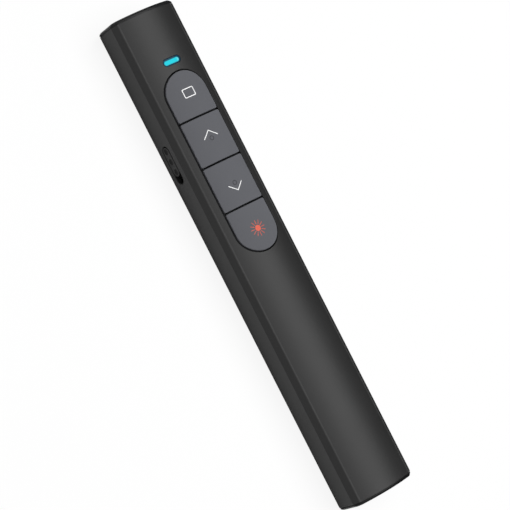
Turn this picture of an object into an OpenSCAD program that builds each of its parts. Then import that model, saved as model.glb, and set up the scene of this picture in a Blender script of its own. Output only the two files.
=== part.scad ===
// Slim wireless presentation clicker: a crowned bar with four keys in one pill-shaped keypad,
// a status light, a power slider on the left side, a laser in the front end, a battery bay
// under a swing-out door and a plug-in radio receiver that is parked in the tail.
//
// Origin: the centre of the resting face. +Y points to the laser end, +Z to the keys, and the
// power slider is on the -X side. All sizes are in millimetres.

/* [Body] */
// Length over both ends
body_length = 140; // [126:1:160]
// Width over the flat sides
body_width = 20; // [18:0.5:22.5]
// Height from the resting face to the top of the crown
body_height = 13.7; // [12.4:0.1:15]
// Radius of the crowned top and of the belly
crown_radius = 20; // [17.5:0.5:24]
// Leg of the 45 degree facets beside the crown and the belly
facet_leg = 1.5; // [1.2:0.05:1.7]
// Depth of the flat that is cut along the belly, on which the body rests
rest_depth = 0.5; // [0.3:0.05:0.6]
// Thickness of the housing walls
wall = 1.4; // [1.2:0.05:1.6]
// Length of the front cap's rim, which is rounded over
front_rim = 1; // [0.8:0.1:1.2]
// Length of the tail frame's rim, which is rounded over
tail_rim = 0.8; // [0.6:0.1:1]

/* [Keypad] */
// Distance from the front end to the keypad's hole
keypad_inset = 18.3; // [18:0.1:18.5]
// Width over a key
key_width = 12.5; // [11.2:0.1:12.7]
// Gap around each key
key_gap = 0.3; // [0.2:0.05:0.35]
// Height of the keys above the crown
key_proud = 0.25; // [0.1:0.05:0.5]
// Travel of a key
key_travel = 0.4; // [0.2:0.05:0.5]
// Thickness of a key's outer skin
key_skin = 1.3; // [1:0.1:1.6]
// Reach of the lip that keeps a key in its hole
lip_reach = 0.4; // [0.3:0.05:0.5]
// Thickness of that lip
lip_thickness = 0.8; // [0.6:0.1:1]
// Thickness of the housing at the edge of the keypad's hole
key_frame = 1.2; // [1:0.1:1.4]
// Diameter of the boss under a key
key_boss = 3.4; // [2.6:0.1:4]

/* [Key switches] */
// Width of a key switch
switch_width = 4.5; // [4:0.1:5]
// Height of a key switch's housing
switch_height = 1.6; // [1.5:0.1:1.8]
// Thickness of the cover plate on a key switch
switch_cover = 0.2; // [0.15:0.05:0.3]
// Diameter of a key switch's plunger
plunger_width = 2; // [1.6:0.1:2.2]
// Height of the plunger above the cover plate
plunger_show = 0.6; // [0.6:0.05:0.8]

/* [Status light] */
// Distance from the front end to the light's centre
light_inset = 15.4; // [15.2:0.1:15.6]
// Length of the light across the body
light_length = 5.3; // [4:0.1:6]
// Width of the light along the body
light_width = 1.9; // [1.4:0.1:2]

/* [Power slider] */
// Distance from the front end to the centre of the slider's slot
slider_inset = 39.7; // [38:0.1:42]
// Length of the slot
slot_length = 10.8; // [10:0.1:12]
// Height of the slot
slot_height = 3.4; // [3:0.1:3.8]
// Travel of the slider
slider_travel = 2; // [1.5:0.1:2.4]
// Depth of the finger dimples in the slider
dimple_depth = 0.35; // [0.2:0.05:0.5]

/* [Circuit board] */
// Thickness of the board
board_thickness = 1; // [0.8:0.1:1.2]
// Room between the board and the walls beside it
board_room = 1.4; // [1.2:0.1:1.8]

/* [Laser] */
// Diameter of the laser's brass barrel
barrel_width = 7; // [6.6:0.1:7.4]
// Diameter of the hole that the beam leaves by
beam_hole = 3.2; // [2.4:0.1:4]
// Thickness of the window behind that hole
window_thickness = 0.8; // [0.6:0.1:0.9]

/* [Battery] */
// Diameter of the battery
battery_width = 10.4; // [10:0.1:10.5]
// Length of the battery with its positive cap
battery_length = 44.5; // [43.5:0.1:44.6]
// Length of the compressed battery spring
spring_length = 2.5; // [2.3:0.1:2.6]
// Thickness of the battery contacts
contact_thickness = 0.4; // [0.3:0.05:0.5]

/* [Battery door] */
// Width of the door
door_width = 11.8; // [11.4:0.1:12.6]
// Thickness of the door
door_thickness = 1.3; // [1.1:0.05:1.35]
// Depth of the door's face below the housing's
door_recess = 0.1; // [0.05:0.05:0.2]
// Gap around the door
door_gap = 0.15; // [0.1:0.05:0.25]
// Width of the springy latch at the door's rear end
latch_width = 5.2; // [4:0.2:7]
// Length of that latch
latch_length = 8; // [6:0.5:10]

/* [Receiver] */
// Width of the receiver's plug
plug_width = 12; // [11.8:0.1:12.1]
// Height of the receiver's plug
plug_height = 4.5; // [4.4:0.1:4.6]
// Length of the receiver's plug
plug_length = 12; // [11:0.1:12]
// Distance from the receiver's sides to the housing's
receiver_side = 2.6; // [2.5:0.1:3]
// Height of the housing above and below the receiver
receiver_cover = 3.25; // [3.1:0.05:3.5]
// Length of the receiver's body
receiver_length = 6.4; // [6:0.1:6.5]
// Diameter of the magnet that holds the receiver
magnet_width = 4; // [3:0.1:5]

/* [Fits] */
// Gap between parts that are fitted into each other and stay there
fit_gap = 0.1; // [0.05:0.01:0.12]
// Gap around a part that slides or turns
slide_gap = 0.15; // [0.1:0.01:0.2]

/* [Hidden] */
$fn = 96;

// Both ends, the sides and the cross-section
front_y = body_length / 2;
tail_y = -body_length / 2;
half_width = body_width / 2;
crown_centre = body_height - crown_radius;
belly_centre = crown_radius - rest_depth;
crown_half = half_width - facet_leg;
crown_drop = crown_radius - sqrt(pow(crown_radius, 2) - pow(crown_half, 2));
side_low = crown_drop - rest_depth + facet_leg;
side_high = body_height - crown_drop - facet_leg;
mid_z = (side_low + side_high) / 2;
facet_reach = half_width + (side_high - side_low) / 2;
inner_half = half_width - wall;
past = 1;
part_bond = 0.02;
rim_flat = 0.1;
front_round = front_rim - rim_flat;
tail_round = tail_rim - rim_flat;
barrel_sharper = 0.05;

// Receiver and its pocket, counted from the tail
pocket_gap = 0.2;
receiver_z = mid_z;
receiver_width = body_width - 2 * receiver_side;
receiver_height = body_height - 2 * receiver_cover;
receiver_inner = tail_y + receiver_length;
plug_tip = receiver_inner + plug_length;
pocket_end = plug_tip + pocket_gap;
block_length = receiver_length + pocket_gap;
receiver_corner = 1.3;
plug_corner = 0.4;
plug_sheet = 0.3;
sleeve_wall = 0.8;
sleeve = pocket_gap + sleeve_wall;
magnet_thickness = 0.8;
notch_radius = 4.2;
notch_centre = 1.2;
nail_groove = 0.5;
nail_groove_width = 8;
nail_groove_inset = 1.6;
plug_window = 2.2;
plug_window_x = 3;
plug_window_inset = 5;
tongue_width = 11.2;
tongue_sheet = 1.8;
tongue_length = 10.4;
pin_count = 4;
pin_pitch = 2.4;
gold_width = 1.1;
gold_sheet = 0.12;
gold_length = 8;
gold_start = 1;

// Battery bay, in front of the pocket
bay_wall = 1.3;
bay_tail = pocket_end + bay_wall;
battery_rear = bay_tail + contact_thickness + spring_length;
battery_front = battery_rear + battery_length;
bay_front = battery_front + contact_thickness;
bulkhead = 1;
bulkhead_front = bay_front + bulkhead;
battery_radius = battery_width / 2;
battery_lift = 0.2;
battery_z = door_thickness + battery_lift + battery_radius;
jacket_thickness = 0.15;
nub_width = 3.8;
nub_length = 1;
contact_width = 7;
bulkhead_low = 3.3;
leg_width = 2;
leg_reach = 2;
strip_thickness = 0.3;
strip_height = 1.5;
rib_first = 9;
rib_pitch = 13;
rib_y = [for (i = [0 : 2]) bay_front - rib_first - i * rib_pitch];
rib_thickness = 1.2;
rib_gap = 0.2;
wire = 0.5;
spring_turns = 3.5;
spring_small = 2;
spring_large = 3.1;
turn_points = 16;
wire_points = 8;

// Battery door
door_shift = 0.45;
door_front = bay_front + door_shift;
door_rear = bay_tail + door_shift;
tab_x = 4.5;
tab_width = 1.8;
tab_reach = 1.3;
tab_height = 0.6;
tab_lift = 0.12;
tab_base = 0.7;
tab_root = 0.1;
latch_slot = 0.5;
latch_bump = 0.4;
latch_bump_width = 3.6;
latch_bump_lift = 0.4;
ridge_count = 4;
ridge_pitch = 1.2;
ridge_width = 0.5;
ridge_depth = 0.3;
ridge_inset = 0.6;
ridge_from = 2;

// Keypad, which takes the length that the battery and the front end leave
key_count = 4;
lip_gap = 0.1;
lip_room = 0.25;
bulkhead_gap = 0.3;
hole_front = front_y - keypad_inset;
hole_rear = bulkhead_front + bulkhead_gap + lip_reach + key_gap;
key_pitch = (hole_front - hole_rear - key_gap) / key_count;
keypad_length = key_count * key_pitch - key_gap;
keypad_y = hole_front - key_gap - keypad_length / 2;
hole_half = key_width / 2 + key_gap;
key_roof = crown_z(hole_half) - key_frame;
lip_top = key_roof - lip_gap;
lip_bottom = lip_top - lip_thickness;
boss_drop = 0.7;
plunger_top = lip_bottom - boss_drop;
cover_inset = 0.1;
skin_side = 1.3;

// Circuit board, which hangs below the keys
board_width = 2 * (inner_half - board_room);
strip_inset = 0.8;
strip_x = board_width / 2 - strip_inset;
board_top = plunger_top - plunger_show - switch_cover - switch_height;
board_low = board_top - board_thickness;
board_mid = board_top - board_thickness / 2;
light_y = front_y - light_inset;
board_nose = 2.2;
board_front = light_y + board_nose;
board_setback = 1.15;
board_rear = hole_rear + board_setback;
bore_low = board_top + switch_height - 2 * key_travel - switch_cover - lip_gap;
light_flange = 0.6;
light_end_gap = 0.2;
light_end = light_length / 2 + light_end_gap;
light_flange_height = 0.7;
light_rod = 1.8;
led_size = [1.6, 0.8, 0.7];
led_gap = 0.2;
frame_front = light_y - light_width / 2 - light_flange - lip_room;
board_corner = 1;
boss_inset = 1.8;
boss_x = board_width / 2 - boss_inset;
boss_width = 3;
screw_width = 1.6;
screw_head = 3;
screw_head_height = 0.9;
screw_cross = 1.8;
screw_slot = 0.4;
screw_reach = 3.2;
pilot_depth = 3.5;
pilot_gap = 0.02;
ledge_width = 4;
ledge_height = 1;
ledge_lap = 0.5;
ledge_rear = 5;
ledge_front = 12;
ledge_y = [board_rear + ledge_rear, board_front - ledge_front];
post_width = 2.4;
post_rear = 2.4;
post_front = 9.6;
post_y = [board_rear + post_rear, board_front - post_front];

// Parts under the board
chip_size = [5, 5, 0.9];
chip_setback = 6.5;
crystal_size = [3.2, 2.5, 0.8];
coil_width = 4.6;
coil_core = 3.4;
coil_flange = 0.4;
coil_height = 2;
small_count = 3;
small_pitch = 2.2;
small_inset = 2.8;
small_x = board_width / 2 - small_inset;
small_rear = 6;
small_y = board_rear + small_rear;
capacitor_size = [1.6, 0.8, 0.8];
resistor_size = [1.6, 0.8, 0.5];
antenna_bars = 5;
antenna_pitch = 1.6;
antenna_track = 0.6;
antenna_side = 3.7;
antenna_half = board_width / 2 - antenna_side;
antenna_setback = 14;
antenna_y = board_front - antenna_setback;
copper = 0.1;

// Power slider and the slide switch in the board's notch
slider_y = front_y - slider_inset;
knob_length = slot_length - slider_travel - 2 * slide_gap;
knob_height = slot_height - 2 * slide_gap;
knob_y = slider_y + slider_travel / 2;
knob_recess = 0.1;
dimple_pitch = 2.86;
dimple_radius = 1.2;
dimple_x = -half_width + knob_recess - dimple_radius + dimple_depth;
plate_thickness = 0.8;
plate_over = 0.9;
plate_x = -inner_half + fit_gap;
plate_length = knob_length + 2 * plate_over;
plate_height = knob_height + 2 * plate_over;
lever_width = 1.4;
lever_height = 0.6;
slide_body_length = 8.8;
slide_body_height = 1.8;
slide_body_depth = 3.9;
slide_overhang = 0.2;
slide_body_x = -board_width / 2 - slide_overhang;
slide_ear = 0.9;
ear_thickness = 0.18;
lever_depth = 1.8;
lever_tip = slide_body_x + lever_depth;

// Joint between the two housings
tongue_height = 0.8;
tongue_thickness = 0.8;
tongue_inset = wall + fit_gap;
tongue_inner = tongue_inset + tongue_thickness;
tongue_top = side_low + tongue_height;
tongue_lap = 2.4;
tongue_from = inner_half - tongue_lap;
end_wall_inset = tongue_inner + fit_gap;
hook_front = 30;
hook_middle = 5.7;
hook_tail = 26;
hook_y = [front_y - hook_front, bay_front - hook_middle, tail_y + hook_tail];
hook_length = 3;
hook_height = 0.35;
hook_depth = 0.35;
hook_lift = 0.3;

// Front cap and laser
spigot_length = 2.4;
spigot_wall = 1;
cap_boss = 0.8;
cap_boss_width = 9.2;
window_width = 6;
cap_inner = front_y - front_rim;
window_sink = 0.2;
window_front = cap_inner + window_sink;
beam_flare = 1.6;
beam_flare_depth = 0.5;
barrel_front = cap_inner - cap_boss;
barrel_gap = 0.8;
barrel_rear = board_front + barrel_gap;
laser_z = board_mid;
diode_base_width = 5.6;
diode_base = 1.2;
diode_can_width = 3.55;
diode_can = 2.4;
lens_width = 4;
lens_thickness = 1.8;
lens_curve = 3;
lens_sink = 2.4;
lens_front = barrel_front - lens_sink;
lens_seat = lens_front - lens_thickness;
ring_length = 0.8;
ring_hole = 2.8;
ring_seat = lens_front - lens_curve + sqrt(pow(lens_curve, 2) - pow(ring_hole / 2, 2)) + part_bond;
beam_bore = 3.2;
pin_width = 0.5;
pin_reach = 1.6;
saddle_inset = 2.6;
saddle_y = [barrel_rear + saddle_inset, barrel_front - saddle_inset];
saddle_thickness = 1.2;
saddle_half = 5;
saddle_open = 0.6;

// Height of the crown at a distance x from the middle
function crown_z(x, inset = 0) = crown_centre + sqrt(pow(crown_radius - inset, 2) - pow(x, 2));

// Height of the belly at a distance x from the middle
function belly_z(x, inset = 0) = belly_centre - sqrt(pow(crown_radius - inset, 2) - pow(x, 2));

// Place of a key's centre along the body, counted from the front
function key_y(i) = keypad_y + ((key_count - 1) / 2 - i) * key_pitch;

// A box between two corners
module block(low, high) {
    translate(low) cube(high - low);
}

// A drawing of the cross-section (x across, y upwards), carried along the body
module along(y0, y1) {
    translate([0, y1, 0]) rotate([90, 0, 0]) linear_extrude(y1 - y0) children();
}

// A cylinder that lies along the body
module rod(width, y0, y1, x = 0, z = 0) {
    along(y0, y1) translate([x, z]) circle(d = width);
}

// A drawing seen from above, raised from z0 to z1
module raised(z0, z1) {
    translate([0, 0, z0]) linear_extrude(z1 - z0) children();
}

// A rectangle with round corners, about the middle
module rounded(width, height, radius) {
    square([width - 2 * radius, height], center = true);
    square([width, height - 2 * radius], center = true);
    for (x = [-1, 1], y = [-1, 1]) {
        translate([x * (width / 2 - radius), y * (height / 2 - radius)]) circle(radius);
    }
}

// The body's cross-section, with every face moved inwards by inset
module section(inset = 0) {
    intersection() {
        translate([0, crown_centre]) circle(crown_radius - inset);
        translate([0, belly_centre]) circle(crown_radius - inset);
        translate([0, mid_z]) rotate(45) square(facet_reach * sqrt(2) - 2 * inset, center = true);
        translate([-half_width + inset, inset]) square([body_width - 2 * inset, body_height]);
    }
}

// A long outline over the whole body, as far as reach on either side, with its four corners round
module end_profile(reach, sharper = 0) {
    front_radius = front_round - sharper;
    tail_radius = tail_round - sharper;
    straight_front = front_y - front_radius;
    straight_tail = tail_y + tail_radius;
    translate([-reach, straight_tail]) square([2 * reach, straight_front - straight_tail]);
    translate([-reach + front_radius, 0]) square([2 * (reach - front_radius), front_y]);
    translate([-reach + tail_radius, tail_y]) square([2 * (reach - tail_radius), -tail_y]);
    for (side = [-1, 1]) {
        translate([side * (reach - front_radius), straight_front]) circle(front_radius);
        translate([side * (reach - tail_radius), straight_tail]) circle(tail_radius);
    }
}

// A round bar along the body with both ends rounded over
module end_barrel(centre) {
    translate([0, 0, centre]) rotate([-90, 0, 0]) rotate_extrude() {
        intersection() {
            end_profile(crown_radius, barrel_sharper);
            translate([0, -body_length]) square([crown_radius + past, 2 * body_length]);
        }
    }
}

// The whole outside with both ends rounded over
module envelope() {
    depth = body_width + body_height;
    intersection() {
        end_barrel(crown_centre);
        end_barrel(belly_centre);
        linear_extrude(body_height) end_profile(half_width);
        facet_prism(45, depth);
        facet_prism(-45, depth);
        translate([-half_width, 0, body_height + past]) rotate([0, 90, 0]) {
            linear_extrude(body_width) end_profile(body_height + past);
        }
    }
}

// One pair of facets, turned about the body's length
module facet_prism(angle, depth) {
    translate([0, 0, mid_z]) rotate([0, angle, 0]) {
        linear_extrude(depth, center = true) end_profile(facet_reach / sqrt(2));
    }
}

// Outline of the keypad seen from above, grown by a margin
module keypad_outline(grow = 0) {
    radius = key_width / 2 + grow;
    straight = keypad_length - key_width;
    translate([0, keypad_y]) {
        square([2 * radius, straight], center = true);
        for (end = [-1, 1]) translate([0, end * straight / 2]) circle(radius);
    }
}

// Outline of one key, grown by a margin towards the housing and shrunk towards its neighbours
module key_outline(i, grow = 0, shrink = 0) {
    length = key_pitch - key_gap - 2 * shrink;
    outer = grow > 0 && (i == 0 || i == key_count - 1) ? grow : 0;
    shift = i == 0 ? outer / 2 : -outer / 2;
    intersection() {
        keypad_outline(grow - shrink);
        translate([0, key_y(i) + shift]) square([2 * body_width, length + outer], center = true);
    }
}

// A key: a crowned cap, a lip under the edge of the hole and a boss over its switch
module key(i) {
    roof = crown_z(hole_half) + key_proud - key_skin;
    intersection() {
        raised(lip_bottom, body_height + past) key_outline(i);
        rod(2 * (crown_radius + key_proud), tail_y, front_y, z = crown_centre);
        difference() {
            raised(lip_bottom, body_height + past) key_outline(i);
            raised(lip_bottom - past, roof) key_outline(i, shrink = skin_side);
        }
    }
    difference() {
        raised(lip_bottom, lip_top) key_outline(i, grow = key_gap + lip_reach);
        raised(lip_bottom - past, lip_top + past) key_outline(i, shrink = skin_side);
    }
    translate([0, key_y(i), plunger_top]) cylinder(d = key_boss, h = roof - plunger_top);
}

// A key switch's plunger, which moves with its key
module plunger(i) {
    low = board_top + switch_height - key_travel - switch_cover;
    translate([0, key_y(i), low]) cylinder(d = plunger_width, h = plunger_top - low);
}

// The bore that a plunger slides in
module plunger_bore(i) {
    translate([0, key_y(i), bore_low]) {
        cylinder(d = plunger_width + 2 * fit_gap, h = plunger_top - bore_low);
    }
}

// The tongues that key the bottom housing into the top housing, with their roots in its walls
module tongues() {
    along(tail_y + tail_rim + block_length + fit_gap, cap_inner - spigot_length - fit_gap) {
        difference() {
            intersection() {
                union() {
                    section(tongue_inset);
                    intersection() {
                        section(wall - part_bond);
                        square([body_width, 2 * side_low], center = true);
                    }
                }
                square([body_width, 2 * tongue_top], center = true);
            }
            section(tongue_inner);
            square([2 * tongue_from, body_height], center = true);
        }
    }
}

// The snap hooks on the tongue, or with a margin the pockets that they click into
module hooks(margin = 0) {
    face = half_width - tongue_inset;
    low = side_low + hook_lift - margin;
    high = side_low + hook_lift + hook_height + margin;
    for (y = hook_y, side = [0, 1]) mirror([side, 0, 0]) {
        block([face - past / 2, y - hook_length / 2 - margin, low],
            [face + hook_depth + margin, y + hook_length / 2 + margin, high]);
    }
}

// A box-shaped part soldered under the board, about a point
module under_board(x, y, size) {
    translate([x - size[0] / 2, y - size[1] / 2, board_low - size[2]]) cube(size);
}

// A saddle rib across the body that takes the laser's barrel
module saddle(y) {
    difference() {
        intersection() {
            along(y - saddle_thickness / 2, y + saddle_thickness / 2) section(wall);
            block([-saddle_half, tail_y, 0], [saddle_half, front_y, body_height]);
        }
        rod(barrel_width + 2 * part_bond, tail_y, front_y, z = laser_z);
    }
}

// A rib across the bay, in which the room for the battery is cut
module cradle(y) {
    difference() {
        intersection() {
            along(y - rib_thickness / 2, y + rib_thickness / 2) section(wall - part_bond);
            block([-half_width, tail_y, tongue_top + fit_gap], [half_width, front_y, body_height]);
        }
        strip_path(slide_gap);
    }
}

// The run of the strip that brings the battery's negative end to the board
module strip_path(margin = 0) {
    block([strip_x - margin, bay_tail + contact_thickness, board_top - (margin > 0 ? margin : 0)],
        [strip_x + strip_thickness + margin, board_rear + leg_reach, board_top + strip_height + margin]);
}

// The leg that brings the battery's positive end to the board
module leg_path(margin = 0) {
    block([-leg_width / 2 - margin, bay_front - contact_thickness, board_top - margin],
        [leg_width / 2 + margin, board_rear + leg_reach, board_top + contact_thickness + margin]);
}

// Outline of the slider's slot or knob, seen from the side: x along the body, y upwards
module side_pill(length, height) {
    square([length - height, height], center = true);
    for (end = [-1, 1]) translate([end * (length - height) / 2, 0]) circle(d = height);
}

// A drawing on the left side at a place along the body, carried through from x0 to x1
module left_side(x0, x1, y, z) {
    translate([x0, y, z]) rotate([90, 0, 90]) linear_extrude(x1 - x0) children();
}

// A scoop under the tail through which a fingernail reaches the receiver
module nail_notch() {
    translate([0, tail_y - notch_centre, -past]) {
        cylinder(r = notch_radius, h = past + receiver_z - receiver_height / 2);
    }
}

// Cross-section of the battery door, between the housing's skin and the bay
module door_section(width) {
    intersection() {
        difference() {
            section(door_recess);
            section(door_thickness);
        }
        translate([-width / 2, 0]) square([width, side_low]);
    }
}

module top_housing() {
    color([0.16, 0.16, 0.17]) difference() {
        union() {
            // the outer skin down to the parting plane
            difference() {
                along(tail_y + tail_rim, cap_inner) section();
                along(tail_y, front_y) section(wall);
                block([-body_width, tail_y, -past], [body_width, front_y, side_low]);
            }
            // the flat frame that the keys' lips meet
            intersection() {
                along(bulkhead_front, frame_front) section(wall - part_bond);
                block([-body_width, tail_y, key_roof], [body_width, front_y, body_height]);
            }
            // the wall in front of the battery
            intersection() {
                along(bay_front, bulkhead_front) section(wall - part_bond);
                union() {
                    block([-half_width, tail_y, tongue_top + fit_gap], [half_width, front_y, body_height]);
                    block([-tongue_from + fit_gap, tail_y, bulkhead_low],
                        [tongue_from - fit_gap, front_y, body_height]);
                }
            }
            for (y = rib_y) cradle(y);
            for (y = saddle_y) intersection() {
                saddle(y);
                block([-half_width, tail_y, laser_z + saddle_open], [half_width, front_y, body_height]);
            }
            // bosses for the board's screws
            for (side = [-1, 1]) intersection() {
                translate([side * boss_x, light_y, board_top]) cylinder(d = boss_width, h = body_height);
                along(tail_y, front_y) section(wall - part_bond);
            }
            // ledges that the board lies against
            for (y = ledge_y, side = [0, 1]) mirror([side, 0, 0]) {
                block([board_width / 2 - ledge_lap, y - ledge_width / 2, board_top],
                    [inner_half + part_bond, y + ledge_width / 2, board_top + ledge_height]);
            }
        }
        raised(0, body_height + past) keypad_outline(key_gap);
        raised(lip_bottom - past, key_roof) keypad_outline(key_gap + lip_reach + lip_room);
        raised(board_top, body_height + past) translate([0, light_y]) {
            rounded(light_length, light_width, light_width / 2 - part_bond);
        }
        left_side(-half_width - past, -inner_half + past, slider_y, mid_z) {
            side_pill(slot_length, slot_height);
        }
        for (side = [-1, 1]) translate([side * boss_x, light_y, board_top - past]) {
            cylinder(d = screw_width + 2 * pilot_gap, h = pilot_depth + past);
        }
        rod(battery_width + 2 * rib_gap, bay_tail, bay_front, z = battery_z);
        leg_path(fit_gap);
        strip_path(fit_gap);
        hooks(fit_gap);
    }
}

module bottom_housing() {
    color([0.15, 0.15, 0.16]) difference() {
        union() {
            intersection() {
                along(tail_y + tail_rim, cap_inner) difference() {
                    section();
                    section(wall);
                }
                block([-body_width, tail_y, -past], [body_width, front_y, side_low]);
            }
            tongues();
            hooks();
            for (y = saddle_y) intersection() {
                saddle(y);
                block([-half_width, tail_y, wall - part_bond], [half_width, front_y, laser_z - saddle_open]);
            }
            // posts that hold the board up against its ledges
            for (y = post_y, side = [-1, 1]) {
                translate([side * boss_x, y, wall]) cylinder(d = post_width, h = board_low - wall);
            }
        }
        // opening under the battery
        block([-door_width / 2 - door_gap, door_rear - door_gap, -past],
            [door_width / 2 + door_gap, door_front + door_gap, side_low]);
        block([-latch_bump_width / 2 - door_gap, door_rear - latch_bump - door_gap, -past],
            [latch_bump_width / 2 + door_gap, door_rear, side_low]);
        // room for the slider's plate
        left_side(plate_x - slide_gap, 0, slider_y, mid_z) {
            square([plate_length + slider_travel, plate_height] + 2 * [slide_gap, slide_gap], center = true);
        }
        nail_notch();
    }
}

module front_cap() {
    color([0.08, 0.08, 0.09]) difference() {
        union() {
            intersection() {
                envelope();
                block([-body_width, cap_inner, -past], [body_width, front_y + past, body_height + past]);
            }
            along(cap_inner - spigot_length, cap_inner) difference() {
                section(wall + fit_gap);
                section(wall + fit_gap + spigot_wall);
            }
            rod(cap_boss_width, barrel_front, cap_inner, z = laser_z);
        }
        rod(beam_hole, barrel_front, front_y + past, z = laser_z);
        rod(window_width + 2 * part_bond, barrel_front - past, window_front, z = laser_z);
        translate([0, front_y, laser_z]) rotate([90, 0, 0]) {
            cylinder(d1 = beam_hole + beam_flare, d2 = beam_hole, h = beam_flare_depth);
        }
    }
}

module tail_frame() {
    color([0.08, 0.08, 0.09]) difference() {
        union() {
            intersection() {
                envelope();
                block([-body_width, tail_y - past, -past],
                    [body_width, tail_y + tail_rim, body_height + past]);
            }
            along(tail_y + tail_rim, tail_y + block_length + tail_rim) section(wall + fit_gap);
            along(tail_y + block_length, pocket_end) intersection() {
                section(end_wall_inset);
                translate([0, receiver_z]) {
                    square([plug_width + 2 * sleeve, plug_height + 2 * sleeve], center = true);
                }
            }
            along(pocket_end, bay_tail) section(end_wall_inset);
        }
        along(tail_y - past, receiver_inner + pocket_gap) translate([0, receiver_z]) {
            rounded(receiver_width + 2 * pocket_gap, receiver_height + 2 * pocket_gap, receiver_corner);
        }
        along(tail_y, pocket_end) translate([0, receiver_z]) {
            square([plug_width + 2 * pocket_gap, plug_height + 2 * pocket_gap], center = true);
        }
        rod(magnet_width + 2 * part_bond, pocket_end - past, pocket_end + magnet_thickness, z = receiver_z);
        nail_notch();
    }
}

module light_pipe() {
    flange_top = crown_z(light_end, wall) - fit_gap;
    flange_low = flange_top - light_flange_height;
    rod_low = board_top + led_size[2] + led_gap;
    length = light_length - 2 * part_bond;
    width = light_width - 2 * part_bond;
    color([0.3, 0.85, 0.95]) union() {
        intersection() {
            raised(flange_low, body_height + past) translate([0, light_y]) {
                rounded(length, width, width / 2 - part_bond);
            }
            rod(2 * crown_radius, tail_y, front_y, z = crown_centre);
        }
        raised(flange_low, flange_top) translate([0, light_y]) {
            rounded(2 * light_end, light_width + 2 * light_flange, light_flange);
        }
        translate([0, light_y, rod_low]) cylinder(d = light_rod, h = flange_low - rod_low + part_bond);
    }
}

module screen_key() {
    color([0.36, 0.37, 0.39]) key(0);
}

module page_up_key() {
    color([0.36, 0.37, 0.39]) key(1);
}

module page_down_key() {
    color([0.36, 0.37, 0.39]) key(2);
}

module laser_key() {
    color([0.36, 0.37, 0.39]) key(3);
}

module screen_plunger() {
    color("white") plunger(0);
}

module page_up_plunger() {
    color("white") plunger(1);
}

module page_down_plunger() {
    color("white") plunger(2);
}

module laser_plunger() {
    color("white") plunger(3);
}

module key_switches() {
    color([0.12, 0.12, 0.12]) for (i = [0 : key_count - 1]) difference() {
        raised(board_top, board_top + switch_height) translate([0, key_y(i)]) {
            square(switch_width, center = true);
        }
        plunger_bore(i);
    }
}

module switch_covers() {
    low = board_top + switch_height;
    color("silver") for (i = [0 : key_count - 1]) difference() {
        raised(low, low + switch_cover) translate([0, key_y(i)]) {
            square(switch_width - 2 * cover_inset, center = true);
        }
        plunger_bore(i);
    }
}

module power_slider() {
    color([0.13, 0.13, 0.14]) difference() {
        union() {
            left_side(-half_width + knob_recess, plate_x + plate_thickness, knob_y, mid_z) {
                side_pill(knob_length, knob_height);
            }
            left_side(plate_x, plate_x + plate_thickness, knob_y, mid_z) {
                square([plate_length, plate_height], center = true);
            }
        }
        for (i = [-1 : 1]) {
            translate([dimple_x, knob_y + i * dimple_pitch, mid_z]) sphere(dimple_radius);
        }
        left_side(plate_x + fit_gap, 0, knob_y, board_mid) square([lever_width, lever_height], center = true);
    }
}

module slide_lever() {
    color([0.08, 0.08, 0.08]) left_side(plate_x + fit_gap, lever_tip, knob_y, board_mid) {
        square([lever_width, lever_height], center = true);
    }
}

module slide_switch() {
    color("silver") difference() {
        union() {
            left_side(slide_body_x, slide_body_x + slide_body_depth, slider_y, board_mid) {
                square([slide_body_length, slide_body_height], center = true);
            }
            block([-board_width / 2, slider_y - slide_body_length / 2 - slide_ear, board_top],
                [slide_body_x + slide_body_depth, slider_y + slide_body_length / 2 + slide_ear,
                    board_top + ear_thickness]);
        }
        left_side(slide_body_x - past, lever_tip + slide_gap, slider_y, board_mid) {
            square([lever_width + slider_travel + 2 * slide_gap, lever_height + 2 * fit_gap], center = true);
        }
    }
}

module circuit_board() {
    middle = (board_front + board_rear) / 2;
    length = board_front - board_rear;
    color([0.05, 0.3, 0.15]) raised(board_low, board_top) difference() {
        translate([0, middle]) rounded(board_width, length, board_corner);
        translate([slide_body_x, slider_y]) {
            square([2 * (slide_body_depth + part_bond), slide_body_length + 2 * part_bond], center = true);
        }
        for (side = [-1, 1]) translate([side * boss_x, light_y]) circle(d = screw_width + 2 * fit_gap);
    }
}

module board_screws() {
    color("silver") for (side = [-1, 1]) translate([side * boss_x, light_y, 0]) {
        translate([0, 0, board_low - screw_head_height]) difference() {
            cylinder(d = screw_head, h = screw_head_height);
            cube([screw_cross, screw_slot, screw_head_height], center = true);
            cube([screw_slot, screw_cross, screw_head_height], center = true);
        }
        translate([0, 0, board_low]) cylinder(d = screw_width, h = board_thickness + screw_reach);
    }
}

module status_led() {
    color("white") translate([-led_size[0] / 2, light_y - led_size[1] / 2, board_top]) cube(led_size);
}

module radio_chip() {
    color([0.1, 0.1, 0.1]) under_board(0, keypad_y - chip_setback, chip_size);
}

module clock_crystal() {
    color("silver") under_board(0, keypad_y, crystal_size);
}

module boost_coil() {
    color([0.2, 0.2, 0.22]) translate([0, small_y, board_low - coil_height]) {
        cylinder(d = coil_core, h = coil_height);
        for (z = [0, coil_height - coil_flange]) {
            translate([0, 0, z]) cylinder(d = coil_width, h = coil_flange);
        }
    }
}

module capacitors() {
    color([0.6, 0.5, 0.38]) for (i = [0 : small_count - 1]) {
        under_board(small_x, small_y + i * small_pitch, capacitor_size);
    }
}

module resistors() {
    color([0.1, 0.1, 0.12]) for (i = [0 : small_count - 1]) {
        under_board(-small_x, small_y + i * small_pitch, resistor_size);
    }
}

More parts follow.
